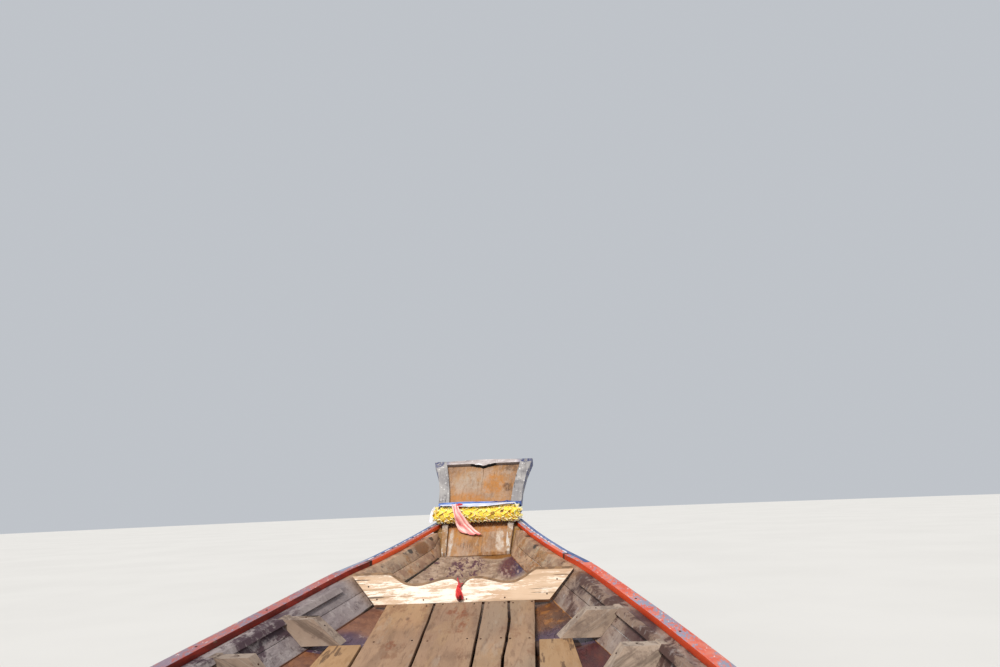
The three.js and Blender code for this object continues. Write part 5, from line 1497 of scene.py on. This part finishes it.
# Floor
def floor_board(name, seed, left_drift=0.0, right_drift=0.0):
    """One bottom board with worn edges, slightly cupped."""
    low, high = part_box(name)
    rows = []
    for y in even(low.y + 0.0004, high.y - 0.0004, 64):
        cut = section(name, y)
        left, right = cut[:, 0].min(), cut[:, 0].max()
        top, under = cut[:, 2].max(), cut[:, 2].min()
        wander = 0.006 * math.sin(y * 4.3) + 0.006 * wobble(y * 6, 3.0) + 0.002 * wobble(y * 30, 9.0)
        left += 0.0016 * (1 + wobble(y * 9, seed)) + left_drift * wander
        right -= 0.0016 * (1 + wobble(y * 9, seed + 5)) - right_drift * wander
        row = []
        for v in even(0, 1, 8):
            x = lerp(left, right, v)
            cup = -0.0022 * (2 * v - 1) ** 2 + 0.0014 * wobble(x * 9, y * 2.2, seed)
            row.append((x, y, top + cup))
        row += [(right, y, under), (left, y, under)]
        rows.append(row)
    work = Build()
    work.grid(rows[::-1], closed=True, ends=True)
    board = work.finish(name + "_worn", "hull", "floor", "floor", replaces=(name,))
    bevelled(board, 0.0026)


def forward_floor():
    """The four boards of the forward floor; the gap between the last two wanders."""
    floor_board("floor_plank_1", 1)
    floor_board("floor_plank_2", 2)
    floor_board("floor_plank_3", 3, right_drift=1.0)
    floor_board("floor_plank_4", 4, left_drift=1.0)


DOWN = Vector((0, 0, -1))
AHEAD = Vector((0, 1, 0))
PLANK_NAILS = (0.34, 0.29, 0.23, 0.17, 0.10, 0.05)


def jitter(draw, reach=0.008):
    """A small random shift in metres."""
    return draw.uniform(-reach, reach)


def board_nails(work, draw):
    """Two nails where each floor board meets each frame."""
    for name in (n for n in NODES if n.startswith(("floor_plank", "side_floorboard"))):
        tree = surface(name)
        low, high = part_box(name)
        for y in RIBS + [RIB_FIRST + RIB_STEP + 0.005]:
            if not low.y + 0.02 < y < high.y - 0.02:
                continue
            cut = section(name, y)
            left, right = cut[:, 0].min(), cut[:, 0].max()
            for share in (0.16, 0.84):
                x = lerp(left, right, share) + jitter(draw)
                hit = tree.ray_cast(Vector((x, y + jitter(draw), 1)), DOWN)
                if hit[0]:
                    work.dome(hit[0] - hit[1] * 0.0006, hit[1], 0.0036, 0.0012)


def hull_nails():
    """Nail heads where the boards, rails and planks meet the frames."""
    draw = random.Random(5)
    inside, outside = Build(), Build()
    board_nails(inside, draw)
    for side, sign in (("right", 1), ("left", -1)):
        rail = surface(f"gunwale_{side}")
        frames = surface(f"side_frames_{side}")
        planks = surface(f"topside_strake_{side}", f"bilge_strake_{side}")
        for y in RIBS:
            wide = np.abs(section(f"gunwale_{side}", y)[:, 0])
            x = sign * (wide.min() + wide.max()) / 2 + jitter(draw, 0.006)
            hit = rail.ray_cast(Vector((x, y + jitter(draw, 0.01), 2)), DOWN)
            if hit[0]:
                inside.dome(hit[0], hit[1], 0.0042, 0.0014)
            wide = np.abs(section(f"side_frames_{side}", y)[:, 0])
            for share in (0.3, 0.6):
                x = sign * lerp(wide.min(), wide.max(), share)
                hit = frames.ray_cast(Vector((x, y, 2)), DOWN)
                if hit[0] and hit[1].z > 0.2:
                    inside.dome(hit[0], hit[1], 0.0032, 0.0012)
            for z in PLANK_NAILS:
                start = Vector((sign * 2, y + jitter(draw), z))
                hit = planks.ray_cast(start, Vector((-sign, 0, 0)))
                if hit[0] and abs(hit[0].x) > 0.3:
                    outside.dome(hit[0], hit[1], 0.005, 0.0015)
    inside.finish("board_nails", "hull", "steel", "rust")
    outside.finish("planking_nails", "hull", "steel", "rust")


def chine_seams():
    """Tar along the joint of the bottom and the bilge planks, inside."""
    work = Build()
    for side, fat in (("left", 0.0075), ("right", 0.0032)):
        path, radius = [], []
        for y in even(-4.9, 4.19, 219):
            cut = section(f"bilge_strake_{side}", y)
            if len(cut) == 0:
                continue
            corner = cut[np.argmin(np.abs(cut[:, 0]))]
            path.append(Vector(corner))
            radius.append(fat * (0.75 + 0.5 * wobble(y * 5, 2)) * (1.0 if y > 3.5 else 0.55))
        work.tube(path, radius, 6)
    work.finish("chine_seam", "hull", "plank", "joint")


# Canopy
EYELET_STEP = 0.25
RAIL_Z = 1.577
CLOTH_SAG = 0.012


class Roof:
    """The canopy's form: tight over the hoops and sagging a little between them."""

    def __init__(self):
        self.low, self.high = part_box("canopy")
        self.start, self.end = self.low.y + 0.003, self.high.y - 0.003
        self.tree = surface("canopy")
        self.known = {}

    def crown(self, y):
        """The roof's height at the middle, its bend and its half width at a place along it."""
        key = round(y, 4)
        if key not in self.known:
            y = min(max(y, self.low.y + 0.002), self.high.y - 0.002)
            half = np.abs(section("canopy", y)[:, 0]).max() - 0.004
            top = self.tree.ray_cast(Vector((0.001, y, 3)), DOWN)[0].z
            side = self.tree.ray_cast(Vector((half * 0.95, y, 3)), DOWN)[0].z
            self.known[key] = top, (top - side) / (half * 0.95) ** 2, half
        return self.known[key]

    def sag(self, y):
        ahead = [h for h in HOOPS if h >= y]
        behind = [h for h in HOOPS if h <= y]
        if not ahead or not behind or ahead[0] == behind[-1]:
            return 0.0
        return CLOTH_SAG * math.sin(math.pi * (y - behind[-1]) / (ahead[0] - behind[-1])) ** 2

    def at(self, across, y, lift=0.0, inset=0.0):
        """A point of the cloth: across is -1 to 1, inset is metres in from the edge."""
        top, bend, half = self.crown(y)
        x = across * (half - inset)
        rise = -0.004 - self.sag(y) * (1 - 0.6 * abs(across)) + 0.0018 * wobble(x * 5, y * 3)
        return Vector((x, y, top - bend * x * x + rise + lift))


def canopy_cloth(form):
    """The cloth, cut in a little between the eyelets."""
    work = Build()
    cloth = []
    for y in even(form.start, form.end, 96):
        scallop = 0.004 * (0.5 - 0.5 * math.cos(2 * math.pi * (y - form.start) / EYELET_STEP))
        cloth.append([form.at(across, y, inset=scallop) for across in even(-1, 1, 56)])
    work.grid(cloth[::-1])
    roof = work.finish("canopy_cloth", "hull", "canvas", "canvas", replaces=("canopy",))
    thicken(roof, 0.003)
    return roof


def canopy_hems(form):
    """Doubled bands along the sides and the ends, and over the inner hoops."""
    start, end = form.start, form.end
    work = Build()
    for side in (-1, 1):
        bands = (0.006, 0.048)[::-side]
        work.grid([[form.at(side, y, 0.0016, inset) for inset in bands]
                   for y in even(end - 0.003, start + 0.003, 90)])
    seams = [(y + 0.022, y - 0.022) for y in HOOPS[1:-1]]
    seams += [(start + 0.045, start + 0.002), (end - 0.002, end - 0.045)]
    for edges in seams:
        work.grid([[form.at(across, y, 0.0020, 0.008) for across in even(-1, 1, 60)] for y in edges])
    return work.finish("canopy_hems", "hull", "canvas", "hem")


def canopy_lacing(form):
    """Eyelets along both sides, and the rope through them and round the side rails."""
    rings, laces = Build(), Build()
    count = int((form.end - form.start) / EYELET_STEP)
    for side in (-1, 1):
        rail_side = surface("canopy_side_right" if side > 0 else "canopy_side_left")
        previous = None
        for y in even(form.start + 0.06, form.end - 0.06, count):
            hole = form.at(side, y, 0.002, 0.026)
            slope = (form.at(side, y, inset=0.016) - form.at(side, y, inset=0.036)).normalized()
            normal = slope.cross(AHEAD)
            normal *= 1 if normal.z > 0 else -1
            rings.tube([hole + (slope * math.cos(t) + AHEAD * math.sin(t)) * 0.008 for t in angles(14, 1)],
                       0.0018, 6)
            rail = rail_side.ray_cast(Vector((side * 2, y, RAIL_Z)), Vector((-side, 0, 0)))[0]
            if rail is None:
                continue
            under = Vector((rail.x - side * 0.017, y + 0.02, 1.5575))
            outer = Vector((rail.x + side * 0.0026, y + 0.012, 1.585))
            over = hole + normal * 0.003
            leaving = hole - normal * 0.006 + Vector((side * 0.004, 0.004, -0.012))
            laces.tube([over, leaving, outer, Vector((outer.x, y + 0.016, 1.563)), under], 0.0022, 6)
            if previous is not None:
                coming = hole - normal * 0.005 + Vector((side * 0.004, -0.004, -0.01))
                laces.tube([previous, Vector((outer.x, y - 0.02, 1.566)), Vector((outer.x, y - 0.012, 1.588)),
                            coming, over], 0.0022, 6)
            previous = under
    eyelets = rings.finish("canopy_eyelets", "hull", "brass", "brass")
    lacing = laces.finish("canopy_lacing", "hull", "canvas", "rope")
    return eyelets, lacing


def canopy():
    """The roof's cloth with its hems, eyelets and lacing."""
    form = Roof()
    roof = canopy_cloth(form)
    hem = canopy_hems(form)
    eyelets, lacing = canopy_lacing(form)


# Engine: its own frame has X along the tilt pin and -Y along the shaft
SWIVEL_Y = -4.75
PIN_Z = 0.845
SHAFT_SLOPE = math.radians(14)
ENGINE = Matrix.Translation((0, SWIVEL_Y, PIN_Z)) @ Matrix.Rotation(SHAFT_SLOPE, 4, "X")
SHAFT_Z = 0.125
PROPELLER_Y = -3.085
BLADE_RADIUS = 0.165
BLOCK_FRONT = 0.262
BLOCK_BACK = -0.232
BLOCK_HALF = 0.128
COVER_TOP = 0.432
COVER_BOLTS = (-0.17, -0.06, 0.06, 0.19)
INJECTORS = (-0.15, -0.03, 0.09)
PIN_HALF = 0.223
FAN_Z = 0.268
RADIATOR_HALF = 0.185


class EngineBuild(Build):
    """A build whose points are given in the engine's frame."""

    def finish(self, name, slot, look, body="engine", **options):
        self.points = [ENGINE @ p for p in self.points]
        return super().finish(name, body, slot, look, **options)


# Propeller: share of the radius, share of the greatest width and pitch in degrees; then the hub's profile
BLADE = ((0.10, 0.45, 62), (0.35, 0.85, 46), (0.65, 1.0, 32), (0.88, 0.80, 26), (1.0, 0.35, 24))
BLADE_WIDTH = 0.088
HUB = ((-0.071, 0.004), (-0.071, 0.010), (-0.066, 0.0145), (-0.052, 0.0150), (-0.050, 0.022),
       (-0.045, 0.0245), (-0.02, 0.029), (0.0, 0.030), (0.02, 0.029), (0.040, 0.0255), (0.045, 0.0235),
       (0.045, 0.016))


def propeller():
    """Three twisted blades with cambered sections on a turned hub."""
    centre = Vector((0, PROPELLER_Y, SHAFT_Z))
    chord = [(r, wide * BLADE_WIDTH) for r, wide, _ in BLADE]
    pitch = [(r, angle) for r, _, angle in BLADE]
    work = EngineBuild()
    for blade in angles(3):
        turn = Matrix.Rotation(blade, 3, "Y")
        rows = []
        for share in even(0, 1, 22):
            r = lerp(0.14, 0.995, 1 - (1 - share) ** 1.3)
            tip = max(0.0, (r - 0.78) / 0.22)
            wide = along(chord, min(r, 0.78)) * math.sqrt(max(0.02, 1 - tip * tip))
            angle = math.radians(along(pitch, r))
            thick = 0.0095 * (1 - 0.72 * r)
            row = []
            for a in angles(20):
                u = 0.5 * wide * math.cos(a) - 0.010 * r * r
                v = thick * math.sin(a) * (1 - 0.55 * abs(math.cos(a)) ** 3)
                v += 0.05 * wide * (1 - math.cos(a) ** 2)
                point = Vector((u * math.cos(angle) - v * math.sin(angle),
                                u * math.sin(angle) + v * math.cos(angle), r * BLADE_RADIUS))
                row.append(centre + turn @ point)
            rows.append(row)
        work.grid(rows, closed=True, ends=True)
    work.turned(HUB, centre, AHEAD, 32)
    wheel = work.finish("propeller_cast", "brass", "brass", body="propeller", replaces=("propeller",))
    sharpen(wheel, 40)
    shaft = EngineBuild()
    shaft.turned([(0.040, 0.0149), (0.203, 0.0149)], centre, AHEAD, 24)
    shaft.turned([(-0.0695, 0.0135), (-0.0535, 0.0135)], centre, AHEAD, 6)
    shaft.finish("propeller_shaft", "steel", "chrome", body="propeller", smooth=False)


TOP_HOSE = ((0.040, 0.205, 0.402), (0.040, 0.235, 0.440), (0.038, 0.265, 0.446), (0.030, 0.300, 0.443),
            (0.022, 0.325, 0.450), (0.020, 0.340, 0.456))
LOW_HOSE = ((0.110, 0.262, 0.085), (0.118, 0.290, 0.086), (0.124, 0.315, 0.088), (0.126, 0.333, 0.090))
GUARD_Z = 0.26
RADIATOR_FRONT = BLOCK_FRONT + 0.062
RADIATOR_BACK = RADIATOR_FRONT + 0.058
RADIATOR_LOW = 0.07
RADIATOR_HIGH = 0.47


def radiator():
    """The radiator's tanks, sides and feet in one frame, and its core."""
    front, back, half = RADIATOR_FRONT, RADIATOR_BACK, RADIATOR_HALF
    low, high = RADIATOR_LOW, RADIATOR_HIGH
    shell, core = EngineBuild(), EngineBuild()
    shell.box((-half, front, high - 0.058), (half, back, high))
    shell.box((-half, front, low), (half, back, low + 0.05))
    for side in (-1, 1):
        near, far = sorted((side * half, side * (half - 0.016)))
        shell.box((near, front, low + 0.05), (far, back, high - 0.058))
        near, far = sorted((side * 0.153, side * 0.177))
        shell.box((near, BLOCK_FRONT + 0.070, 0.0285), (far, BLOCK_FRONT + 0.094, low + 0.002))
    core.box((0.016 - half, front + 0.008, low + 0.05), (half - 0.016, back - 0.008, high - 0.058))
    bevelled(shell.finish("radiator_frame", "radiator", "tank", replaces=("radiator",)), 0.006, 3)
    core.finish("radiator_core", "radiator", "core", smooth=False)


def radiator_front():
    """The filler cap and the wire guard over the core."""
    cap, guard = EngineBuild(), EngineBuild()
    cap.turned([(0, 0.018), (0.006, 0.018), (0.007, 0.025), (0.015, 0.026), (0.017, 0.022), (0.020, 0.012),
                (0.020, 0.0)], (-0.11, RADIATOR_FRONT + 0.029, RADIATOR_HIGH), (0, 0, 1), 24)
    cap.finish("radiator_cap", "steel", "chrome")
    back = RADIATOR_BACK
    for radius in (0.055, 0.095, 0.135):
        guard.tube([(radius * math.cos(t), back + 0.010, GUARD_Z + radius * math.sin(t))
                    for t in angles(40, 1)], 0.0022, 6)
    for a in (t + 0.2 for t in angles(8)):
        guard.tube([(r * math.cos(a), y, GUARD_Z + r * math.sin(a))
                    for r, y in ((0.02, back + 0.0135), (0.150, back + 0.0135), (0.162, back))], 0.0026, 6)
    guard.finish("radiator_guard", "steel", "tube")


def radiator_hoses():
    """Two rubber hoses to the block, each with a clamp near either end."""
    hoses, clamps = EngineBuild(), EngineBuild()
    for path, radius in ((TOP_HOSE, 0.0160), (LOW_HOSE, 0.0140)):
        line = rounded(path)
        hoses.tube(line, radius, 14)
        for share in (0.12, 0.90):
            k = int(share * (len(line) - 2))
            band = [(-0.005, radius + 0.0012), (0.005, radius + 0.0012)]
            clamps.turned(band, line[k], line[k + 1] - line[k], 20)
    hoses.finish("radiator_hoses", "rubber", "rubber")
    clamps.finish("hose_clamps", "steel", "chrome")


def rounded(path, steps=6):
    """A smooth curve through the points."""
    points = [Vector(p) for p in path]
    points = [2 * points[0] - points[1]] + points + [2 * points[-1] - points[-2]]
    line = []
    for i in range(1, len(points) - 2):
        a, b, c, d = points[i - 1:i + 3]
        for k in range(steps):
            t = k / steps
            line.append(0.5 * (2 * b + (c - a) * t + (2 * a - 5 * b + 4 * c - d) * t ** 2
                               + (3 * b - a - 3 * c + d) * t ** 3))
    return line + [points[-2]]


# Pulleys: across, height, radius; fan blade: radius, half width, twist in degrees
FAN_BLADE = ((0.030, 0.014, 40), (0.055, 0.024, 34), (0.085, 0.029, 28), (0.108, 0.026, 24))
PULLEYS = ((0.0, SHAFT_Z, 0.068), (0.0, FAN_Z, 0.052), (-0.104, 0.222, 0.036))


BELT_FACE = BLOCK_FRONT + 0.0004


def pulleys():
    """Three grooved pulleys with their nuts."""
    work = EngineBuild()
    for x, z, radius in PULLEYS:
        work.turned([(0, radius * 0.45), (0.016, radius * 0.45), (0.017, radius), (0.022, radius),
                     (0.0275, radius - 0.009), (0.033, radius), (0.038, radius), (0.039, radius * 0.5),
                     (0.043, radius * 0.32), (0.043, 0.0)], (x, BELT_FACE, z), AHEAD, 40)
        work.turned([(0.043, 0.011), (0.051, 0.011)], (x, BELT_FACE, z), AHEAD, 6)
    sharpen(work.finish("engine_pulleys", "steel", "steel", replaces=("belt_drive",)))


def belt():
    """The belt in the pulleys' grooves, round all three."""
    around = [Vector((x + (radius - 0.001) * math.cos(t), z + (radius - 0.001) * math.sin(t)))
              for x, z, radius in PULLEYS for t in angles(60)]
    hull = [around[i] for i in convex_hull_2d(around)]
    centre = sum(hull, Vector((0, 0))) / len(hull)
    rows = []
    for p in hull + hull[:1]:
        out = (p - centre).normalized()
        rows.append([(p.x + out.x * d, BELT_FACE + y, p.y + out.y * d)
                     for d, y in ((-0.005, 0.0245), (0.003, 0.0215), (0.003, 0.0335), (-0.005, 0.0305))])
    work = EngineBuild()
    work.grid(rows, closed=True)
    sharpen(work.finish("engine_belt", "rubber", "rubber"), 50)


def fan():
    """Six twisted blades and a hub on the upper pulley."""
    work = EngineBuild()
    for a in angles(6):
        turn = Matrix.Rotation(a, 3, "Y")
        rows = []
        for r, wide, twist in FAN_BLADE:
            angle = math.radians(twist)
            row = []
            for u, v in ((-wide, 0.0), (0.0, -0.0035), (wide, 0.0), (0.0, -0.002)):
                point = Vector((u * math.cos(angle), u * math.sin(angle) * 0.42 + v, r))
                row.append(Vector((0, BELT_FACE + 0.047, FAN_Z)) + turn @ point)
            rows.append(row)
        work.grid(rows, closed=True, ends=True)
    work.turned([(0.043, 0.034), (0.046, 0.034), (0.052, 0.020), (0.052, 0.0)],
                (0, BELT_FACE, FAN_Z), AHEAD, 24)
    sharpen(work.finish("engine_fan", "steel", "tank"), 40)


def bolt(work, at, axis, radius=0.008, height=0.006):
    """A washer and a six-sided head."""
    work.turned([(-0.0005, radius * 1.5), (0.0015, radius * 1.5)], at, axis, 16)
    work.turned([(0.001, radius), (height, radius), (height + 0.001, radius * 0.8)], at, axis, 6)


def engine_bolts():
    """Bolts of the cover, block, bell housing, shaft flange, feet and tilt pin."""
    work = EngineBuild()
    for y in COVER_BOLTS:
        bolt(work, (0, y, COVER_TOP), (0, 0, 1), 0.009, 0.009)
    for y in (-0.20, -0.10, 0.0, 0.10, 0.20):
        for side in (-1, 1):
            bolt(work, (side * BLOCK_HALF, y, 0.30), (side, 0, 0))
            bolt(work, (side * BLOCK_HALF, y + 0.02, 0.055), (side, 0, 0))
    for a in (t + 0.26 for t in angles(12)):
        at = (0.138 * math.cos(a), BLOCK_BACK - 0.0453, SHAFT_Z + 0.138 * math.sin(a))
        bolt(work, at, (0, -1, 0), 0.007)
    for a in angles(6):
        bolt(work, (0.063 * math.cos(a), -0.4225, SHAFT_Z + 0.063 * math.sin(a)), (0, -1, 0), 0.005)
    for side in (-1, 1):
        for y in (-0.34, -0.12, 0.16, 0.34):
            bolt(work, (side * 0.169, y, 0.028), (0, 0, 1), 0.009, 0.008)
        bolt(work, (side * PIN_HALF, 0, 0), (side, 0, 0), 0.013, 0.010)
    sharpen(work.finish("engine_bolts", "steel", "steel"))


def engine_pipes():
    """Three injector pipes from the pump and the breather behind the cover."""
    work = EngineBuild()
    for i, y in enumerate(INJECTORS):
        start = -0.02 + 0.018 * i
        path = [(-0.133, start, 0.17), (-0.150, start, 0.215), (-0.146, y * 0.6, 0.262 + 0.008 * i),
                (-0.135, y, 0.34), (-0.112, y, 0.425), (-0.078, y, 0.452)]
        work.tube(rounded(path), 0.0033, 8)
    work.tube(rounded([(-0.03, -0.20, 0.425), (-0.03, -0.225, 0.455), (-0.02, -0.250, 0.44),
                       (0.0, -0.262, 0.38), (0.02, -0.255, 0.32)]), 0.007, 10)
    work.finish("engine_pipes", "steel", "tube")


def engine_ribs():
    """Ribs on the cover's sides, lugs on the feet and the injection pump's box."""
    work = EngineBuild()
    for y in COVER_BOLTS:
        for side in (-1, 1):
            middle = side * 0.0885
            work.box((middle - 0.004, y - 0.004, 0.335), (middle + 0.004, y + 0.004, 0.425))
    for side in (-1, 1):
        near, far = sorted((side * 0.129, side * 0.150))
        for y in (-0.13, 0.13):
            work.box((near, y, 0.029), (far, y + 0.04, 0.075))
    work.box((-0.150, -0.045, 0.105), (-0.1283, 0.045, 0.17))
    bevelled(work.finish("engine_ribs", "engine", "enamel"), 0.002)


def engine_caps():
    """The injectors' heads and the oil filler."""
    work = EngineBuild()
    for y in INJECTORS:
        at = (-0.070, y, COVER_TOP - 0.0002)
        work.turned([(0, 0.009), (0.018, 0.009), (0.02, 0.006)], at, (-0.3, 0, 1), 12)
    work.turned([(0, 0.024), (0.01, 0.024), (0.012, 0.030), (0.022, 0.030), (0.025, 0.026)],
                (0.03, 0.14, COVER_TOP - 0.0002), (0, 0, 1), 20)
    sharpen(work.finish("engine_caps", "steel", "chrome"))


def tiller_grip():
    """Rubber rings along the tiller's end."""
    work = EngineBuild()
    for share in even(0, 1, 15):
        at = Vector((-0.07, lerp(1.155, 1.322, share), lerp(0.1005, 0.0705, share)))
        work.turned([(-0.0028, 0.0225), (0, 0.0245), (0.0028, 0.0225)], at, (0, 0.185, -0.035), 20)
    work.finish("tiller_grip", "rubber", "rubber")


def bracket_fittings():
    """Bolts through the beam's flange, weld beads and a grease cup on the swivel."""
    bolts, beads, cups = Build(), Build(), Build()
    low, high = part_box("engine_stand")
    beam_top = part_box("engine_beam")[1].z
    for side in (-1, 1):
        for y in (SWIVEL_Y - 0.065, SWIVEL_Y + 0.065):
            at = Vector((side * 0.098, y, beam_top + 0.0125))
            bolts.turned([(-0.001, 0.017), (0.002, 0.017)], at, (0, 0, 1), 20)
            bolts.turned([(0.002, 0.011), (0.012, 0.011), (0.013, 0.009)], at, (0, 0, 1), 6)
            bolts.turned([(0.013, 0.0055), (0.022, 0.0055), (0.023, 0.004)], at, (0, 0, 1), 10)
    ring = [(0.0595 * math.cos(t), SWIVEL_Y + 0.0595 * math.sin(t), beam_top + 0.0135) for t in angles(48, 1)]
    beads.tube(ring, [0.0045 + 0.0009 * math.sin(k * 2.4) for k in range(49)], 8)
    cups.turned([(0, 0.005), (0.006, 0.005), (0.007, 0.003), (0.012, 0.004), (0.014, 0.002)],
                (0.058, SWIVEL_Y, (low.z + high.z) / 2), (1, 0, 0.3), 10)
    sharpen(bolts.finish("bracket_bolts", "hull", "steel", "rust"))
    beads.finish("bracket_weld", "hull", "steel", "steel")
    cups.finish("bracket_grease_cup", "hull", "brass", "brass")


def bench_fittings():
    """Screws on the benches and the deck, and the benches' plank joints as dark seams."""
    heads, seams = Build(), Build()
    for name in ("bench_front", "bench_middle", "bench_rear"):
        low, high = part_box(name)
        middle = (low.y + high.y) / 2
        for side in (-1, 1):
            for dy in (-0.085, -0.03, 0.03, 0.085):
                heads.dome((side * 0.43, middle + dy, high.z), (0, 0, 1), 0.0055, 0.0012, 10)
        seams.tube([(x, middle + 0.0012 * wobble(i * 0.3), high.z)
                    for i, x in enumerate(even(low.x + 0.004, high.x - 0.004, 40))], 0.0011, 5)
    low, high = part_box("stern_deck")
    for k in range(1, 5):
        y = lerp(low.y, high.y, k / 5)
        half = lerp(0.364, 0.45, k / 5) - 0.006
        seams.tube([(x, y, high.z) for x in even(-half, half, 30)], 0.0012, 5)
        for side in (-1, 1):
            for dy in (-0.03, 0.03):
                heads.dome((side * (half - 0.05), y + dy, high.z), (0, 0, 1), 0.0045, 0.0012, 10)
    heads.finish("bench_screws", "hull", "steel", "rust")
    seams.finish("bench_seams", "hull", "bench", "tar")


for make in (prow_cap, cheeks, bow_lines, garland, blue_ribbon, white_ribbon, sash, washboard, tassel,
             forward_floor, hull_nails, chine_seams, canopy, propeller, radiator, radiator_front,
             radiator_hoses, pulleys, belt, fan, engine_bolts, engine_pipes, engine_ribs, engine_caps,
             tiller_grip, bracket_fittings, bench_fittings):
    make()


# Stage: pale floor at the waterline with a hole the shape of the hull, and soft light
FLOOR_REACH = 60
FLOOR_INSET = 0.008
SUN_TOWARD = Vector((0.20, 0.76, -0.68))
SUN_STRENGTH = 3.0
SKY_STRENGTH = 0.66


def waterplane():
    """The hull's outline at the waterline."""
    names = ("bottom_planks", "bilge_strake_right", "bilge_strake_left", "transom")
    cut = np.concatenate([section(name, 0.0, 2) for name in names])
    flat = [Vector((float(x), float(y))) for x, y, _ in cut]
    return [flat[i] for i in convex_hull_2d(flat)]


def stage_floor():
    """A flat ring from just inside the hull's side out to the horizon."""
    ring = [(p.x - math.copysign(FLOOR_INSET, p.x), p.y) for p in waterplane()]
    middle = sum(y for _, y in ring) / len(ring)
    ring.sort(key=lambda p: math.atan2(p[1] - middle, p[0]))
    outer = []
    for x, y in ring:
        reach = FLOOR_REACH / math.hypot(x, y - middle)
        outer.append((x * reach, middle + (y - middle) * reach))
    count = len(ring)
    points = [(x, y, 0.0) for x, y in ring + outer]
    faces = [(i, (i + 1) % count, (i + 1) % count + count, i + count) for i in range(count)]
    floor = mesh_object("floor", points, [tuple(reversed(face)) for face in faces])
    f = Finish("studio_floor", 0.85, 0.0, 0.2)
    f.colour = f.mix(f.spots(0.3, 0.7, 0.6, 3), 0xdcdad6, 0xe0deda)
    floor.data.materials.append(f.done())


def lights():
    sun = bpy.data.lights.new("key", "SUN")
    sun.energy = SUN_STRENGTH
    sun.angle = math.radians(14)
    sun.color = (1.0, 0.955, 0.89)
    key = add_object("key", sun)
    key.rotation_euler = SUN_TOWARD.to_track_quat("-Z", "Y").to_euler()
    world = bpy.data.worlds.new("studio")
    world.use_nodes = True
    sky = world.node_tree.nodes["Background"]
    sky.inputs["Color"].default_value = linear(0xe6ebf2)
    sky.inputs["Strength"].default_value = SKY_STRENGTH
    bpy.context.scene.world = world
    bpy.context.scene.view_settings.view_transform = "Standard"


stage_floor()
lights()
